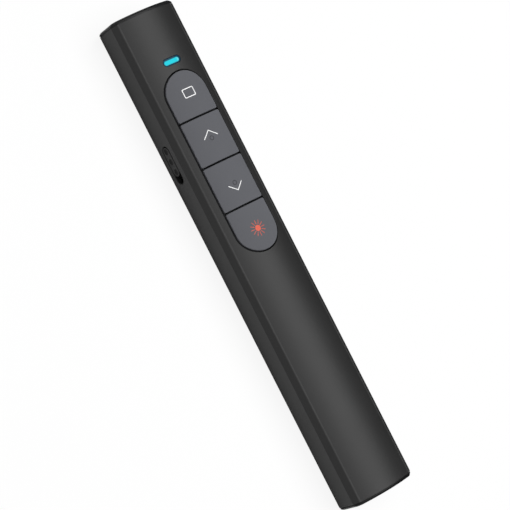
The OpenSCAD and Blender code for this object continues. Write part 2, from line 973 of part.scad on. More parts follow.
// A folded copper track: bars across the board, joined in turn at either end
module antenna_trace() {
    color([0.8, 0.5, 0.2]) raised(board_low - copper, board_low) {
        for (i = [0 : antenna_bars - 1]) {
            translate([-antenna_half, antenna_y + i * antenna_pitch]) {
                square([2 * antenna_half, antenna_track]);
            }
        }
        for (i = [0 : antenna_bars - 2]) {
            x = i % 2 == 0 ? antenna_half - antenna_track : -antenna_half;
            translate([x, antenna_y + i * antenna_pitch]) square([antenna_track, antenna_pitch]);
        }
    }
}

module laser_barrel() {
    color([0.8, 0.65, 0.3]) difference() {
        rod(barrel_width, barrel_rear, barrel_front, z = laser_z);
        rod(lens_width + 2 * part_bond, lens_seat, barrel_front + past, z = laser_z);
        rod(beam_bore, barrel_rear, barrel_front, z = laser_z);
        rod(diode_base_width + 2 * part_bond, barrel_rear - past, barrel_rear + diode_base, z = laser_z);
        rod(diode_can_width + 2 * part_bond, barrel_rear, barrel_rear + diode_base + diode_can, z = laser_z);
    }
}

// A lens that is flat behind and bulges towards the front
module laser_lens() {
    color([0.8, 0.9, 1]) intersection() {
        rod(lens_width, lens_seat, lens_front, z = laser_z);
        translate([0, lens_front - lens_curve, laser_z]) sphere(lens_curve);
    }
}

module lens_ring() {
    color([0.75, 0.6, 0.25]) difference() {
        rod(lens_width, ring_seat, ring_seat + ring_length, z = laser_z);
        rod(ring_hole, ring_seat - past, ring_seat + ring_length + past, z = laser_z);
    }
}

module laser_diode() {
    color([0.8, 0.7, 0.4]) union() {
        rod(diode_base_width, barrel_rear, barrel_rear + diode_base, z = laser_z);
        rod(diode_can_width, barrel_rear + diode_base, barrel_rear + diode_base + diode_can, z = laser_z);
    }
}

module diode_pins() {
    offset_z = board_thickness / 2 + pin_width / 2;
    color("gold") for (side = [-1, 1]) {
        rod(pin_width, board_front - pin_reach, barrel_rear, z = laser_z + side * offset_z);
    }
}

module laser_window() {
    color([0.35, 0.05, 0.08]) rod(window_width, window_front - window_thickness, window_front, z = laser_z);
}

module battery_cell() {
    color("silver") union() {
        rod(battery_width - 2 * jacket_thickness, battery_rear, battery_front - nub_length, z = battery_z);
        rod(nub_width, battery_front - nub_length, battery_front, z = battery_z);
    }
}

module battery_jacket() {
    inner = battery_width - 2 * jacket_thickness;
    color([0.85, 0.86, 0.88]) difference() {
        rod(battery_width, battery_rear, battery_front - nub_length, z = battery_z);
        rod(inner, battery_rear - past, battery_front, z = battery_z);
    }
}

module positive_contact() {
    high = battery_z + contact_width / 2;
    color("silver") union() {
        block([-contact_width / 2, bay_front - contact_thickness, bulkhead_low],
            [contact_width / 2, bay_front, high]);
        leg_path();
    }
}

module negative_contact() {
    low = battery_z - contact_width / 2;
    high = battery_z + contact_width / 2;
    color("silver") union() {
        block([-contact_width / 2, bay_tail, low], [contact_width / 2, bay_tail + contact_thickness, high]);
        block([0, bay_tail, board_top], [strip_x + strip_thickness, bay_tail + contact_thickness,
            board_top + strip_height]);
    }
}

// Centre line of the conical battery spring, from the contact plate to the battery
function coil_point(t) =
    let (
        radius = spring_large + (spring_small - spring_large) * t,
        angle = 360 * spring_turns * t,
        run = spring_length - wire
    )
    [radius * cos(angle), bay_tail + contact_thickness + wire / 2 + run * t, battery_z + radius * sin(angle)];

// A ring of points around the spring's wire
function coil_ring(t) =
    let (angle = 360 * spring_turns * t, centre = coil_point(t))
    [for (k = [0 : wire_points - 1])
        let (a = 360 * k / wire_points)
        centre + wire / 2 * [cos(a) * cos(angle), sin(a), cos(a) * sin(angle)]];

module battery_spring() {
    steps = spring_turns * turn_points;
    points = [for (i = [0 : steps]) each coil_ring(i / steps)];
    sides = [for (i = [0 : steps - 1], k = [0 : wire_points - 1])
        let (here = i * wire_points, ahead = here + wire_points, next = (k + 1) % wire_points)
        [here + k, here + next, ahead + next, ahead + k]];
    first = [for (k = [wire_points - 1 : -1 : 0]) k];
    last = [for (k = [0 : wire_points - 1]) steps * wire_points + k];
    color("silver") polyhedron(points, concat(sides, [first], [last]), convexity = 8);
}

module return_strip() {
    color("silver") strip_path();
}

module battery_door() {
    latch_y = door_rear + latch_length;
    latch_edge = latch_width / 2;
    color([0.15, 0.15, 0.16]) difference() {
        union() {
            along(door_rear, door_front) door_section(door_width);
            // tabs that hook in above the housing's floor
            for (side = [-1, 1]) translate([side * tab_x, 0, 0]) {
                floor_z = belly_z(tab_x + tab_width / 2, wall) + tab_lift;
                block([-tab_width / 2, door_front - tab_base, door_thickness - tab_root],
                    [tab_width / 2, door_front, floor_z + tab_height]);
                block([-tab_width / 2, door_front - tab_base, floor_z],
                    [tab_width / 2, door_front + tab_reach, floor_z + tab_height]);
            }
            block([-latch_bump_width / 2, door_rear - latch_bump, door_recess + latch_bump_lift],
                [latch_bump_width / 2, door_rear, door_thickness]);
        }
        for (side = [-1, 1]) translate([side * (latch_edge + latch_slot / 2), door_rear, 0]) {
            block([-latch_slot / 2, -past, -past], [latch_slot / 2, latch_length, side_low]);
        }
        for (i = [0 : ridge_count - 1]) {
            translate([-latch_edge + ridge_inset, latch_y - ridge_from - i * ridge_pitch, -past]) {
                cube([latch_width - 2 * ridge_inset, ridge_width, past + door_recess + ridge_depth]);
            }
        }
    }
}

module receiver_body() {
    color([0.1, 0.1, 0.1]) difference() {
        along(tail_y, receiver_inner) translate([0, receiver_z]) {
            rounded(receiver_width, receiver_height, receiver_corner);
        }
        low = receiver_z - receiver_height / 2 - past;
        translate([-nail_groove_width / 2, tail_y + nail_groove_inset, low]) {
            cube([nail_groove_width, nail_groove, past + nail_groove]);
        }
    }
}

module receiver_plug() {
    inner_width = plug_width - 2 * plug_sheet;
    inner_height = plug_height - 2 * plug_sheet;
    color("silver") difference() {
        along(receiver_inner, plug_tip) translate([0, receiver_z]) {
            rounded(plug_width, plug_height, plug_corner);
        }
        along(receiver_inner - past, plug_tip + past) translate([0, receiver_z]) {
            square([inner_width, inner_height], center = true);
        }
        for (side = [-1, 1]) translate([side * plug_window_x, plug_tip - plug_window_inset, receiver_z]) {
            cube([plug_window, plug_window, plug_height + past], center = true);
        }
    }
}

module receiver_tongue() {
    top = receiver_z + plug_height / 2 - plug_sheet;
    color([0.9, 0.9, 0.9]) block([-tongue_width / 2, receiver_inner, top - tongue_sheet],
        [tongue_width / 2, receiver_inner + tongue_length, top]);
}

module receiver_contacts() {
    low = receiver_z + plug_height / 2 - plug_sheet - tongue_sheet - gold_sheet;
    color("gold") for (i = [0 : pin_count - 1]) {
        x = (i - (pin_count - 1) / 2) * pin_pitch - gold_width / 2;
        translate([x, receiver_inner + gold_start, low]) cube([gold_width, gold_length, gold_sheet]);
    }
}

module magnet() {
    color([0.7, 0.7, 0.72]) rod(magnet_width, pocket_end, pocket_end + magnet_thickness, z = receiver_z);
}

top_housing();
bottom_housing();
front_cap();
tail_frame();
light_pipe();
screen_key();
page_up_key();
page_down_key();
laser_key();
screen_plunger();
page_up_plunger();
page_down_plunger();
laser_plunger();
key_switches();
switch_covers();
power_slider();
slide_lever();
slide_switch();
circuit_board();
board_screws();
status_led();
radio_chip();
clock_crystal();
boost_coil();
capacitors();
resistors();
antenna_trace();
laser_barrel();
laser_lens();
lens_ring();
laser_diode();
diode_pins();
laser_window();
battery_cell();
battery_jacket();
positive_contact();
negative_contact();
battery_spring();
return_strip();
battery_door();
receiver_body();
receiver_plug();
receiver_tongue();
receiver_contacts();
magnet();
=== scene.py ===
"""Looks of the presentation clicker: shells, keys with printed marks, slider, door, finishes and studio."""

import math

import bmesh
import bpy
from mathutils import Matrix, Vector


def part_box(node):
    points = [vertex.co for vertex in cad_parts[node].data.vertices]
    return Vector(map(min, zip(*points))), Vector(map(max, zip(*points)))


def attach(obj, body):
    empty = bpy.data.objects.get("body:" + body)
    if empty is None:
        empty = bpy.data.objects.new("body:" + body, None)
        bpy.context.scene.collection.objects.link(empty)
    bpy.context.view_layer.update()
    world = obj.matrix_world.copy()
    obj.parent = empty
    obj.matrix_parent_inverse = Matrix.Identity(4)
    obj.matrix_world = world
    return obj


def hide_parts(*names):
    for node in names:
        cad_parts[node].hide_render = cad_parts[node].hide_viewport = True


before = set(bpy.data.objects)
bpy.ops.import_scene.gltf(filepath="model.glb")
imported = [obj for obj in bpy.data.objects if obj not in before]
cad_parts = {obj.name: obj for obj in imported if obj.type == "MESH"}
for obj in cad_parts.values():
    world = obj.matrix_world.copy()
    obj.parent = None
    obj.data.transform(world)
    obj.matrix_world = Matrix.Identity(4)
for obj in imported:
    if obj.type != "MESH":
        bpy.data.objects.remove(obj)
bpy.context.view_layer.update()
MM = 0.001

# ---------------------------------------------------------------- sizes that the frame gives
cap_low, cap_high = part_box("front_cap")
tail_low, tail_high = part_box("tail_frame")
shell_low, shell_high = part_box("top_housing")
screen_low, screen_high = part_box("screen_key")
up_low, up_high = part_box("page_up_key")
down_low, down_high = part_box("page_down_key")
laser_low, laser_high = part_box("laser_key")
light_low, light_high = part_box("light_pipe")
knob_low, knob_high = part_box("power_slider")
lever_low, lever_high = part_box("slide_lever")
battery_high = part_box("battery_jacket")[1]
door_low, door_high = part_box("battery_door")
lens_low, lens_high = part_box("laser_lens")
receiver_low, receiver_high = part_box("receiver_body")

# ---------------------------------------------------------------- cross-section
HALF = cap_high.x
HEIGHT = cap_high.z
SEAM = shell_low.z
CROWN_RADIUS = 20 * MM
FACET = 1.5 * MM
WALL = 1.4 * MM
SKIN = WALL - 0.1 * MM
SOFT_EDGE = 0.16 * MM
SOFT_STEPS = 4
CROWN_STEPS = 32
CROWN_CENTRE = HEIGHT - CROWN_RADIUS
CROWN_EDGE = HALF - FACET
EDGE_Z = CROWN_CENTRE + math.sqrt(CROWN_RADIUS**2 - CROWN_EDGE**2)
MIDDLE = (SEAM + EDGE_Z - FACET) / 2
# How far out the lines of the upper and the lower facet meet
REACH = HALF + (EDGE_Z - FACET - SEAM) / 2

# ---------------------------------------------------------------- how pieces are joined and cut
MERGE = 0.0005 * MM
CUT_SNAP = 0.00001 * MM
# How far what is inside a solid reaches into the skin drawn here
WELD_LAP = 0.05 * MM
# Keeps a cutter's faces off those that the solid already has
TRIM = 0.01 * MM
RIM_CHAMFER = 0.12 * MM
DRAPE_STEP = 0.5 * MM
ROUND_STEPS = 64
CREASE = math.radians(32)

# ---------------------------------------------------------------- ends
GROOVE_HALF = 0.1 * MM
GROOVE_DEPTH = 0.2 * MM
GROOVE_SLOPE = 0.02 * MM
FRONT_CORNER = 1.1 * MM
TAIL_CORNER = 1.5 * MM
# Depths behind the grooves at which the shells' round corners are drawn
END_RINGS = [step * MM for step in (0.02, 0.08, 0.16, 0.27, 0.42)]
# The end plates are narrowed as if they ended a little sooner, so that their corners don't fold up
END_SHARE = 1 - 0.002
FRONT_ROUND = 0.78 * MM
TAIL_ROUND = 0.62 * MM
BEAM_RADIUS = 1.6 * MM
BEAM_FLARE = 2.4 * MM
BEAM_FLARE_DEPTH = 0.5 * MM
LENS_SEAT = 3.02 * MM
SEAT_PAST = 0.2 * MM
NOTCH_RADIUS = 4.2 * MM
NOTCH_Y = tail_low.y - 1.2 * MM
POCKET_GAP = 0.2 * MM
RECEIVER_CORNER = 1.3 * MM
RECEIVER_ROUND = 0.35 * MM
GRIP_LOW = (-4 * MM, receiver_low.y + 1.6 * MM)
GRIP_HIGH = (4 * MM, receiver_low.y + 2.1 * MM)
GRIP_CORNER = 0.1 * MM
GRIP_DEPTH = 0.5 * MM
GRIP_CHAMFER = 0.08 * MM

# ---------------------------------------------------------------- battery door
DOOR_FRONT = door_high.y - 1.3 * MM
DOOR_REAR = door_low.y + 0.4 * MM
DOOR_GAP = 0.15 * MM
DOOR_ROUND = 0.07 * MM
OPENING_CORNER = 0.05 * MM
LATCH_HALF = 1.8 * MM

# ---------------------------------------------------------------- keys
KEY_GAP = 0.3 * MM
KEY_EASE = 0.09 * MM
KEY_CORNER = 0.45 * MM
KEY_ROUND = 0.16 * MM
HOLE_EASE = 0.05 * MM
HOLE_CHAMFER = 0.1 * MM
LIP_SPREAD = KEY_GAP + 0.4 * MM
LIP_LOW = screen_low.z + 0.7 * MM
LIP_HIGH = LIP_LOW + 0.8 * MM
LIP_END = 0.1 * MM
LIP_GAP = 0.1 * MM
LIP_ROOM = 0.25 * MM
KEY_HALF = screen_high.x - LIP_SPREAD
KEYPAD_FRONT = screen_high.y - LIP_SPREAD
KEYPAD_REAR = laser_low.y + LIP_SPREAD
KEY_TOP = screen_high.z
KEY_CROWN = CROWN_RADIUS + KEY_TOP - HEIGHT
KEY_STEPS = 48

# ---------------------------------------------------------------- marks on the keys
MARK_PROUD = 0.015 * MM
MARK_LOW = KEY_TOP - MARK_PROUD - 0.05 * MM
MARK_HALF = 3 * MM
MARK_STEP = 0.25 * MM
SQUARE_LOW = (-1.68 * MM, 44.08 * MM)
SQUARE_HIGH = (1.82 * MM, 46.58 * MM)
SQUARE_CORNER = 0.3 * MM
SQUARE_LINE = 0.22 * MM
# Where the arrows' tips and ends lie along the body, and their half widths
UP_ARROW = (34.43 * MM, 32.47 * MM, 2.28 * MM)
DOWN_ARROW = (16.88 * MM, 18.78 * MM, 2.2 * MM)
ARROW_LINE = 0.2 * MM
SUN_PLACE = (0.07 * MM, 5.88 * MM)
SUN_RADIUS = 0.82 * MM
RAY_START = 1.05 * MM
RAY_END = 2.2 * MM
RAY_WIDTH = 0.14 * MM
RAY_COUNT = 12
UP_RING = (0.0, 32.1 * MM)
DOWN_RING = (0.05 * MM, 19.1 * MM)
RING_OUTER = 0.66 * MM
RING_INNER = 0.44 * MM
RING_TOP = KEY_TOP - 0.005 * MM
RING_DRAPE_STEP = 0.1 * MM

# ---------------------------------------------------------------- light and slider
LIGHT_LENGTH = 5.3 * MM
LIGHT_WIDTH = 1.9 * MM
LIGHT_EASE = 0.1 * MM
LIGHT_CHAMFER = 0.04 * MM
LIGHT_DRAPE_HALF = 2.5 * MM
LIGHT_Y = (light_low.y + light_high.y) / 2
GLOW_CENTRE = (-0.17 * MM, LIGHT_Y - 0.1 * MM, 0)
KNOB_Y = (knob_low.y + knob_high.y) / 2
KNOB = (8.36 * MM, 2.96 * MM)
KNOB_FACE = knob_low.x - 0.08 * MM
KNOB_ROUND = 0.14 * MM
PLATE_THICKNESS = 0.8 * MM
PLATE_CORNER = 0.3 * MM
PLATE_INSIDE = knob_high.x
DIMPLE_RADIUS = 1.0 * MM
DIMPLE_DEPTH = 0.5 * MM
DIMPLE_PITCH = 2.92 * MM
SLOT = (10.8 * MM, 3.4 * MM)
SLOT_Y = KNOB_Y - 1 * MM

# Ways in which a flat outline is carried: its across, its up and its depth in the world
ALONG = Matrix(((1, 0, 0), (0, 0, 1), (0, 1, 0))).to_4x4()
SIDEWAYS = Matrix(((0, 0, 1), (1, 0, 0), (0, 1, 0))).to_4x4()
UPWARDS = Matrix.Identity(4)


# ---------------------------------------------------------------- outlines
def arc(centre, radius, start, end, steps):
    """Points of an arc, its angles in degrees."""
    turns = [math.radians(start + (end - start) * i / steps) for i in range(steps + 1)]
    return [Vector((centre[0] + radius * math.cos(t), centre[1] + radius * math.sin(t))) for t in turns]


def circle(radius, y, steps=ROUND_STEPS):
    """A circle on the body's middle line."""
    return arc((0, y), radius, 0, 360 - 360 / steps, steps - 1)


def pill(length, height, grow=0.0, steps=16):
    """A pill that lies along its first direction."""
    radius = height / 2 + grow
    run = (length - height) / 2
    right = arc((run, 0), radius, -90, 90, steps)
    return [*right, *arc((-run, 0), radius, 90, 270, steps)]


def rectangle(low, high, corner, grow=0.0, steps=5):
    """A rectangle with round corners, between two corner points."""
    x0, x1 = low[0] + corner, high[0] - corner
    y0, y1 = low[1] + corner, high[1] - corner
    places = (((x1, y0), -90), ((x1, y1), 0), ((x0, y1), 90), ((x0, y0), 180))
    return [p for place, turn in places for p in arc(place, corner + grow, turn, turn + 90, steps)]


def plain_rectangle(low, high):
    """A rectangle with sharp corners."""
    return [Vector(p) for p in ((low[0], low[1]), (high[0], low[1]), (high[0], high[1]), (low[0], high[1]))]


def moved(points, x=0.0, y=0.0):
    """An outline at another place."""
    return [Vector((p[0] + x, p[1] + y)) for p in points]


def softened(before, corner, after):
    """A small curve in place of a corner."""
    start = corner + (before - corner).normalized() * SOFT_EDGE
    end = corner + (after - corner).normalized() * SOFT_EDGE
    shares = [i / SOFT_STEPS for i in range(SOFT_STEPS + 1)]
    return [start.lerp(corner, s).lerp(corner.lerp(end, s), s) for s in shares]


def half_crown(inset, soft=True):
    """The right half of the crown, its facet and the top of the side, from the side up."""
    radius = CROWN_RADIUS - inset
    diamond = REACH - inset * math.sqrt(2)
    side = HALF - inset
    # The edge is where the facet's 45 degree line meets the crown's circle
    line = diamond + MIDDLE - CROWN_CENTRE
    edge = (line - math.sqrt(2 * radius**2 - line * line)) / 2
    low = Vector((side, MIDDLE + diamond - side))
    high = Vector((edge, MIDDLE + diamond - edge))
    start = math.degrees(math.acos(edge / radius))
    crown = arc((0, CROWN_CENTRE), radius, start, 90, CROWN_STEPS)
    if not soft:
        return [low, high, *crown[1:]]
    lower = softened(Vector((side, MIDDLE)), low, high)
    upper = softened(low, high, crown[1])
    return [*lower, *upper, *crown[1:]]


def mirrored(points):
    """An outline's right half with its left half after it; the last point lies in the middle."""
    return [*points, *[Vector((-p.x, p.y)) for p in reversed(points[:-1])]]


def flipped(points):
    """The same line under the middle height, cut flat where the body rests."""
    top = max(p.y for p in points)
    flat = max(2 * MIDDLE, HEIGHT) - top
    return [Vector((p.x, max(2 * MIDDLE - p.y, flat))) for p in points]


def section_line(inset, soft=True):
    """The whole cross-section, from the right side over the crown and back under the belly."""
    top = mirrored(half_crown(inset, soft))
    return [*top, *reversed(flipped(top))]


def shell_line(inset, lower):
    """Outline of one shell's section: its skin outside, the skin's inner side inside."""
    seam_in = Vector((REACH - SKIN * math.sqrt(2) - (MIDDLE - SEAM), SEAM))
    seam_out = Vector((HALF - inset, SEAM))
    if lower:
        outer = flipped(half_crown(inset)[SOFT_STEPS + 1 :])
        inner = flipped(half_crown(SKIN, False)[1:])
        after = outer[0]
    else:
        outer = half_crown(inset)
        inner = half_crown(SKIN, False)
        inner = [Vector((HALF - SKIN, 2 * MIDDLE - inner[0].y)), *inner]
        after = Vector((HALF - inset, MIDDLE))
    outer = mirrored([*softened(seam_in, seam_out, after), *outer])
    inner = mirrored([seam_in, *inner])
    return [*outer, *reversed(inner)]


def narrowed(outline, depth):
    """An outline near an end of the body, where the corners seen from above are round."""
    corner, distance = FRONT_CORNER, cap_high.y - depth
    if depth < 0:
        corner, distance = TAIL_CORNER, depth - tail_low.y
    if distance >= corner:
        return outline
    start = HALF - corner
    share = math.sqrt(corner**2 - (corner - distance) ** 2) / corner
    pulls = [math.copysign(max(abs(p.x) - start, 0) * (1 - share), p.x) for p in outline]
    return [Vector((p.x - pull, p.y)) for p, pull in zip(outline, pulls)]


def rounded_levels(outline_at, low, high, radius, steps=4):
    """Levels of a solid whose far rim is rounded over."""
    turns = [math.radians(90 * i / steps) for i in range(steps + 1)]
    rims = [(outline_at(-radius * (1 - math.cos(t))), high - radius + radius * math.sin(t)) for t in turns]
    return [(outline_at(0), low), *rims]


def hole_levels(outline_at, low, surface, high, chamfer=RIM_CHAMFER):
    """Levels of a cutter for a hole whose rim has a small chamfer, whichever way it opens."""
    way_out = 1 if high > surface else -1
    # The cutter's slope runs on past the surface, half as far again as the chamfer is deep
    flare = chamfer * 1.5
    return [
        (outline_at(0), low),
        (outline_at(0), surface - way_out * chamfer),
        (outline_at(flare), surface + way_out * (flare - chamfer)),
        (outline_at(flare), high),
    ]


# ---------------------------------------------------------------- pieces
def stack(bm, levels, way=UPWARDS):
    """A solid through outlines at rising depths, with a flat face over each end."""
    loops = []
    for outline, depth in levels:
        corners = [bm.verts.new(way @ Vector((p[0], p[1], depth))) for p in outline]
        loops.append([bm.edges.new(pair) for pair in zip(corners, corners[1:] + corners[:1])])
    for one, two in zip(loops, loops[1:]):
        bmesh.ops.bridge_loops(bm, edges=one + two)
    for end in (loops[0], loops[-1]):
        bmesh.ops.contextual_create(bm, geom=end)
    bmesh.ops.recalc_face_normals(bm, faces=bm.faces)


def drape(bm, level, surface, half, step):
    """Cuts a shape into strips across the body and lets all above a level follow a surface."""
    for i in range(round(2 * half / step) + 1):
        plane = (-half + i * step, 0, 0)
        everything = bm.verts[:] + bm.edges[:] + bm.faces[:]
        bmesh.ops.bisect_plane(bm, geom=everything, dist=CUT_SNAP, plane_co=plane, plane_no=(1, 0, 0))
    for corner in bm.verts:
        if corner.co.z > level:
            corner.co.z += surface(corner.co.x)


def crown_drop(x, radius=CROWN_RADIUS):
    """Height of the crown against its top, 0 or less, at a distance x from the middle."""
    return math.sqrt(radius**2 - x * x) - radius


def key_drop(x):
    """Height of a key's face against its top, 0 or less."""
    return crown_drop(x, KEY_CROWN)


def make(name, bm):
    """A new object from a bmesh."""
    bmesh.ops.remove_doubles(bm, verts=bm.verts, dist=MERGE)
    bmesh.ops.recalc_face_normals(bm, faces=bm.faces)
    mesh = bpy.data.meshes.new(name)
    bm.to_mesh(mesh)
    bm.free()
    made = bpy.data.objects.new(name, mesh)
    bpy.context.scene.collection.objects.link(made)
    return made


def settle(piece):
    """Applies a piece's modifiers to its mesh."""
    graph = bpy.context.evaluated_depsgraph_get()
    mesh = bpy.data.meshes.new_from_object(piece.evaluated_get(graph))
    piece.modifiers.clear()
    old = piece.data
    piece.data = mesh
    bpy.data.meshes.remove(old)
    mesh.name = piece.name


def combine(piece, operation, tools):
    """Adds tools to a piece, cuts them out of it or keeps what they share, one after another."""
    for other in tools:
        cut = piece.modifiers.new("cut", "BOOLEAN")
        cut.operation = operation
        cut.solver = "EXACT"
        cut.object = other
        settle(piece)
        bpy.data.objects.remove(other)


def carve(piece, *tools):
    """Cuts tools out of a piece."""
    combine(piece, "DIFFERENCE", tools)


def weld(piece, *tools):
    """Adds tools to a piece."""
    combine(piece, "UNION", tools)


def tool(levels, way=UPWARDS):
    """A solid that is used up in a cut or a weld."""
    bm = bmesh.new()
    stack(bm, levels, way)
    return make("tool", bm)


def box_tool(low, high):
    """A box-shaped tool between two corner points."""
    outline = plain_rectangle(low, high)
    return tool([(outline, low.z), (outline, high.z)])


def crown_hole(outline_at, chamfer, half):
    """A cutter through the crown whose chamfered rim follows it."""
    bm = bmesh.new()
    stack(bm, hole_levels(outline_at, EDGE_Z - 3 * MM, HEIGHT, HEIGHT + MM, chamfer))
    drape(bm, HEIGHT - MM / 2, crown_drop, half, DRAPE_STEP)
    return make("tool", bm)


def solid_of(name):
    """A bmesh of a node's solid."""
    bm = bmesh.new()
    bm.from_mesh(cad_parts[name].data)
    return bm


def inside(name, low, high, inset=SKIN - WELD_LAP):
    """What a node's solid has inside the skin, between two depths, as a new object."""
    outline = section_line(inset, False)
    part = make("tool", solid_of(name))
    combine(part, "INTERSECT", [tool([(outline, low), (outline, high)], ALONG)])
    return part


def smooth(piece):
    """Smooth faces with crisp edges, weighted by the faces' sizes."""
    bm = bmesh.new()
    bm.from_mesh(piece.data)
    for face in bm.faces:
        face.smooth = True
    for side in bm.edges:
        side.smooth = side.calc_face_angle(0) < CREASE
    bm.to_mesh(piece.data)
    bm.free()
    weigh = piece.modifiers.new("weigh", "WEIGHTED_NORMAL")
    weigh.keep_sharp = True
    settle(piece)


def hand_over(piece, body, finish, replaces=()):
    """Smooths a piece, gives it its finish and fixes it to its body."""
    smooth(piece)
    piece.data.materials.clear()
    piece.data.materials.append(finish)
    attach(piece, body)
    if replaces:
        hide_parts(*replaces)


# ---------------------------------------------------------------- shader writing
class Signal:
    """A value in a node tree, on which Python's operators add Math nodes."""

    def __init__(self, nodes, socket):
        self.nodes = nodes
        self.socket = socket

    def math(self, operation, *values):
        return self.nodes.add("ShaderNodeMath", {"operation": operation}, dict(enumerate(values)))

    def __add__(self, other):
        return self.math("ADD", self, other)

    def __radd__(self, other):
        return self.math("ADD", other, self)

    def __sub__(self, other):
        return self.math("SUBTRACT", self, other)

    def __rsub__(self, other):
        return self.math("SUBTRACT", other, self)

    def __mul__(self, other):
        return self.math("MULTIPLY", self, other)

    def __rmul__(self, other):
        return self.math("MULTIPLY", other, self)

    def __truediv__(self, other):
        return self.math("DIVIDE", self, other)

    def __abs__(self):
        return self.math("ABSOLUTE", self)

    def __pow__(self, other):
        return self.math("POWER", self, other)

    def fraction(self):
        return self.math("FRACT", self)

    def most(self, other):
        return self.math("MAXIMUM", self, other)

    def least(self, other):
        return self.math("MINIMUM", self, other)

    def within(self, inner, outer):
        """1 where the value is below inner, 0 above outer, soft in between."""
        settings = {"interpolation_type": "SMOOTHSTEP"}
        return self.nodes.add("ShaderNodeMapRange", settings, {0: self, 1: inner, 2: outer, 3: 1.0, 4: 0.0})


class Nodes:
    """The node tree of a material or of the world."""

    def __init__(self, tree):
        self.tree = tree

    def add(self, kind, settings, inputs, output=0):
        """A node with its settings, its inputs as values or signals, and one of its outputs."""
        node = self.tree.nodes.new(kind)
        for name, value in settings.items():
            setattr(node, name, value)
        for name, value in inputs.items():
            self.feed(node.inputs[name], value)
        return Signal(self, node.outputs[output])

    def feed(self, socket, value):
        """Links a signal to a socket or sets its value."""
        if isinstance(value, Signal):
            self.tree.links.new(value.socket, socket)
        elif isinstance(value, tuple) and len(value) == 3 and socket.type == "RGBA":
            socket.default_value = (*value, 1.0)
        else:
            socket.default_value = value

    def sees_backdrop(self):
        """1 for the camera's rays and for those that leave gloss or glass."""
        names = ("Is Camera Ray", "Is Glossy Ray", "Is Transmission Ray")
        camera_ray, glossy_ray, clear_ray = [self.add("ShaderNodeLightPath", {}, {}, name) for name in names]
        return (camera_ray + glossy_ray + clear_ray).least(1.0)


class Finish(Nodes):
    """A material in the making, with its one main shader."""

    def __init__(self, name, **look):
        self.material = bpy.data.materials.new(name)
        self.material.use_nodes = True
        super().__init__(self.material.node_tree)
        self.shader = self.tree.nodes["Principled BSDF"]
        self.set(**look)

    def set(self, **look):
        """Feeds the main shader's sockets."""
        for name, value in look.items():
            self.feed(self.shader.inputs[name.replace("_", " ")], value)

    def place(self, centre=(0, 0, 0), stretch=(1, 1, 1)):
        """Object coordinates in millimetres, centred and stretched."""
        here = self.add("ShaderNodeTexCoord", {}, {}, "Object")
        shifted = self.add("ShaderNodeVectorMath", {"operation": "SUBTRACT"}, {0: here, 1: centre})
        size = tuple(s / MM for s in stretch)
        return self.add("ShaderNodeVectorMath", {"operation": "MULTIPLY"}, {0: shifted, 1: size})

    def parts(self, vector):
        """The three parts of a vector."""
        return [self.add("ShaderNodeSeparateXYZ", {}, {0: vector}, name) for name in "XYZ"]

    def noise(self, vector, scale, detail=2.0, roughness=0.5):
        """Cloudy noise around 0.5; the scale counts per millimetre."""
        inputs = {"Vector": vector, "Scale": scale, "Detail": detail, "Roughness": roughness}
        return self.add("ShaderNodeTexNoise", {}, inputs, "Fac")

    def cells(self, vector, scale):
        """Distance to the nearest of many scattered points."""
        return self.add("ShaderNodeTexVoronoi", {}, {"Vector": vector, "Scale": scale}, "Distance")

    def blend(self, share, one, two):
        """One colour where the share is 0 and the other where it is 1."""
        return self.add("ShaderNodeMix", {"data_type": "RGBA"}, {0: share, 6: one, 7: two}, 2)

    def bump(self, height, distance, strength=1.0):
        """Small relief on the surface."""
        inputs = {"Height": height, "Distance": distance, "Strength": strength}
        return self.add("ShaderNodeBump", {}, inputs, "Normal")


def shade(colour, factor):
    """A colour made darker or lighter."""
    return tuple(c * factor for c in colour)


# ---------------------------------------------------------------- finishes; lengths in them are millimetres
def moulded(name, colour, rough, grain, specular=0.5, painted_light=None):
    """Matte plastic with a fine spark-eroded grain and faint handling marks; a mask, where given, paints
    highlight or shade into its colour.
    """
    made = Finish(name, Specular_IOR_Level=specular)
    here = made.place()
    cloud = made.noise(here, 0.12)
    fine = made.noise(here, 5.5, roughness=0.6)
    speck = made.cells(here, 4.0)
    base = made.blend(cloud, shade(colour, 0.93), shade(colour, 1.07))
    base = made.blend(fine * 0.3, base, shade(colour, 1.5))
    # Painted highlight or painted shade, blended into the base colour where the mask's share is high
    if painted_light:
        share, factor = painted_light(made, here, cloud)
        base = made.blend(share, base, shade(colour, factor))
    made.set(
        Base_Color=base,
        Roughness=rough + (cloud - 0.5) * 0.06 + (fine - 0.5) * 0.1,
        Normal=made.bump(fine * 0.6 + speck * 0.5, grain * MM, 0.6),
    )
    return made.material


def painted_edge_highlight(made, here, cloud):
    """Painted highlight: paler along the crown's edges, where their small rounding catches the light."""
    x, _, z = made.parts(here)
    line = abs(abs(x) - CROWN_EDGE / MM).within(0.03, 0.3)
    upper = 1 - z.within(MIDDLE / MM, MIDDLE / MM + 0.1)
    return line * upper * (0.55 + 0.5 * cloud), 3.5


def painted_gap_shade(made, here, cloud):
    """Painted shade: dark low down, between the keys and under their edges, where shade falls."""
    low = LIP_HIGH / MM
    return made.parts(here)[2].within(low + 0.1, low + 0.5) * 0.95, 0.1


def painted_hollow_shade(made, here, cloud):
    """Painted shade: dark rings in the slider's three hollows and a dark line along its edge, where shade
    falls.
    """
    _, y, z = made.parts(here)
    pitch = DIMPLE_PITCH / MM
    along = y - KNOB_Y / MM
    nearest = (abs(along) - pitch / 2).most(0.0) - pitch / 2
    step = abs(nearest).least(abs(along))
    up = z - MIDDLE / MM
    off = (step * step + up * up) ** 0.5
    rings = off.within(0.76, 0.92) * (1 - off.within(0.34, 0.48))
    past = (abs(along) - (KNOB[0] - KNOB[1]) / 2 / MM).most(0.0)
    reach = KNOB[1] / 2 / MM
    edge = 1 - ((past * past + up * up) ** 0.5).within(reach - 0.3, reach - 0.14)
    return rings.most(edge) * 0.9, 0.1


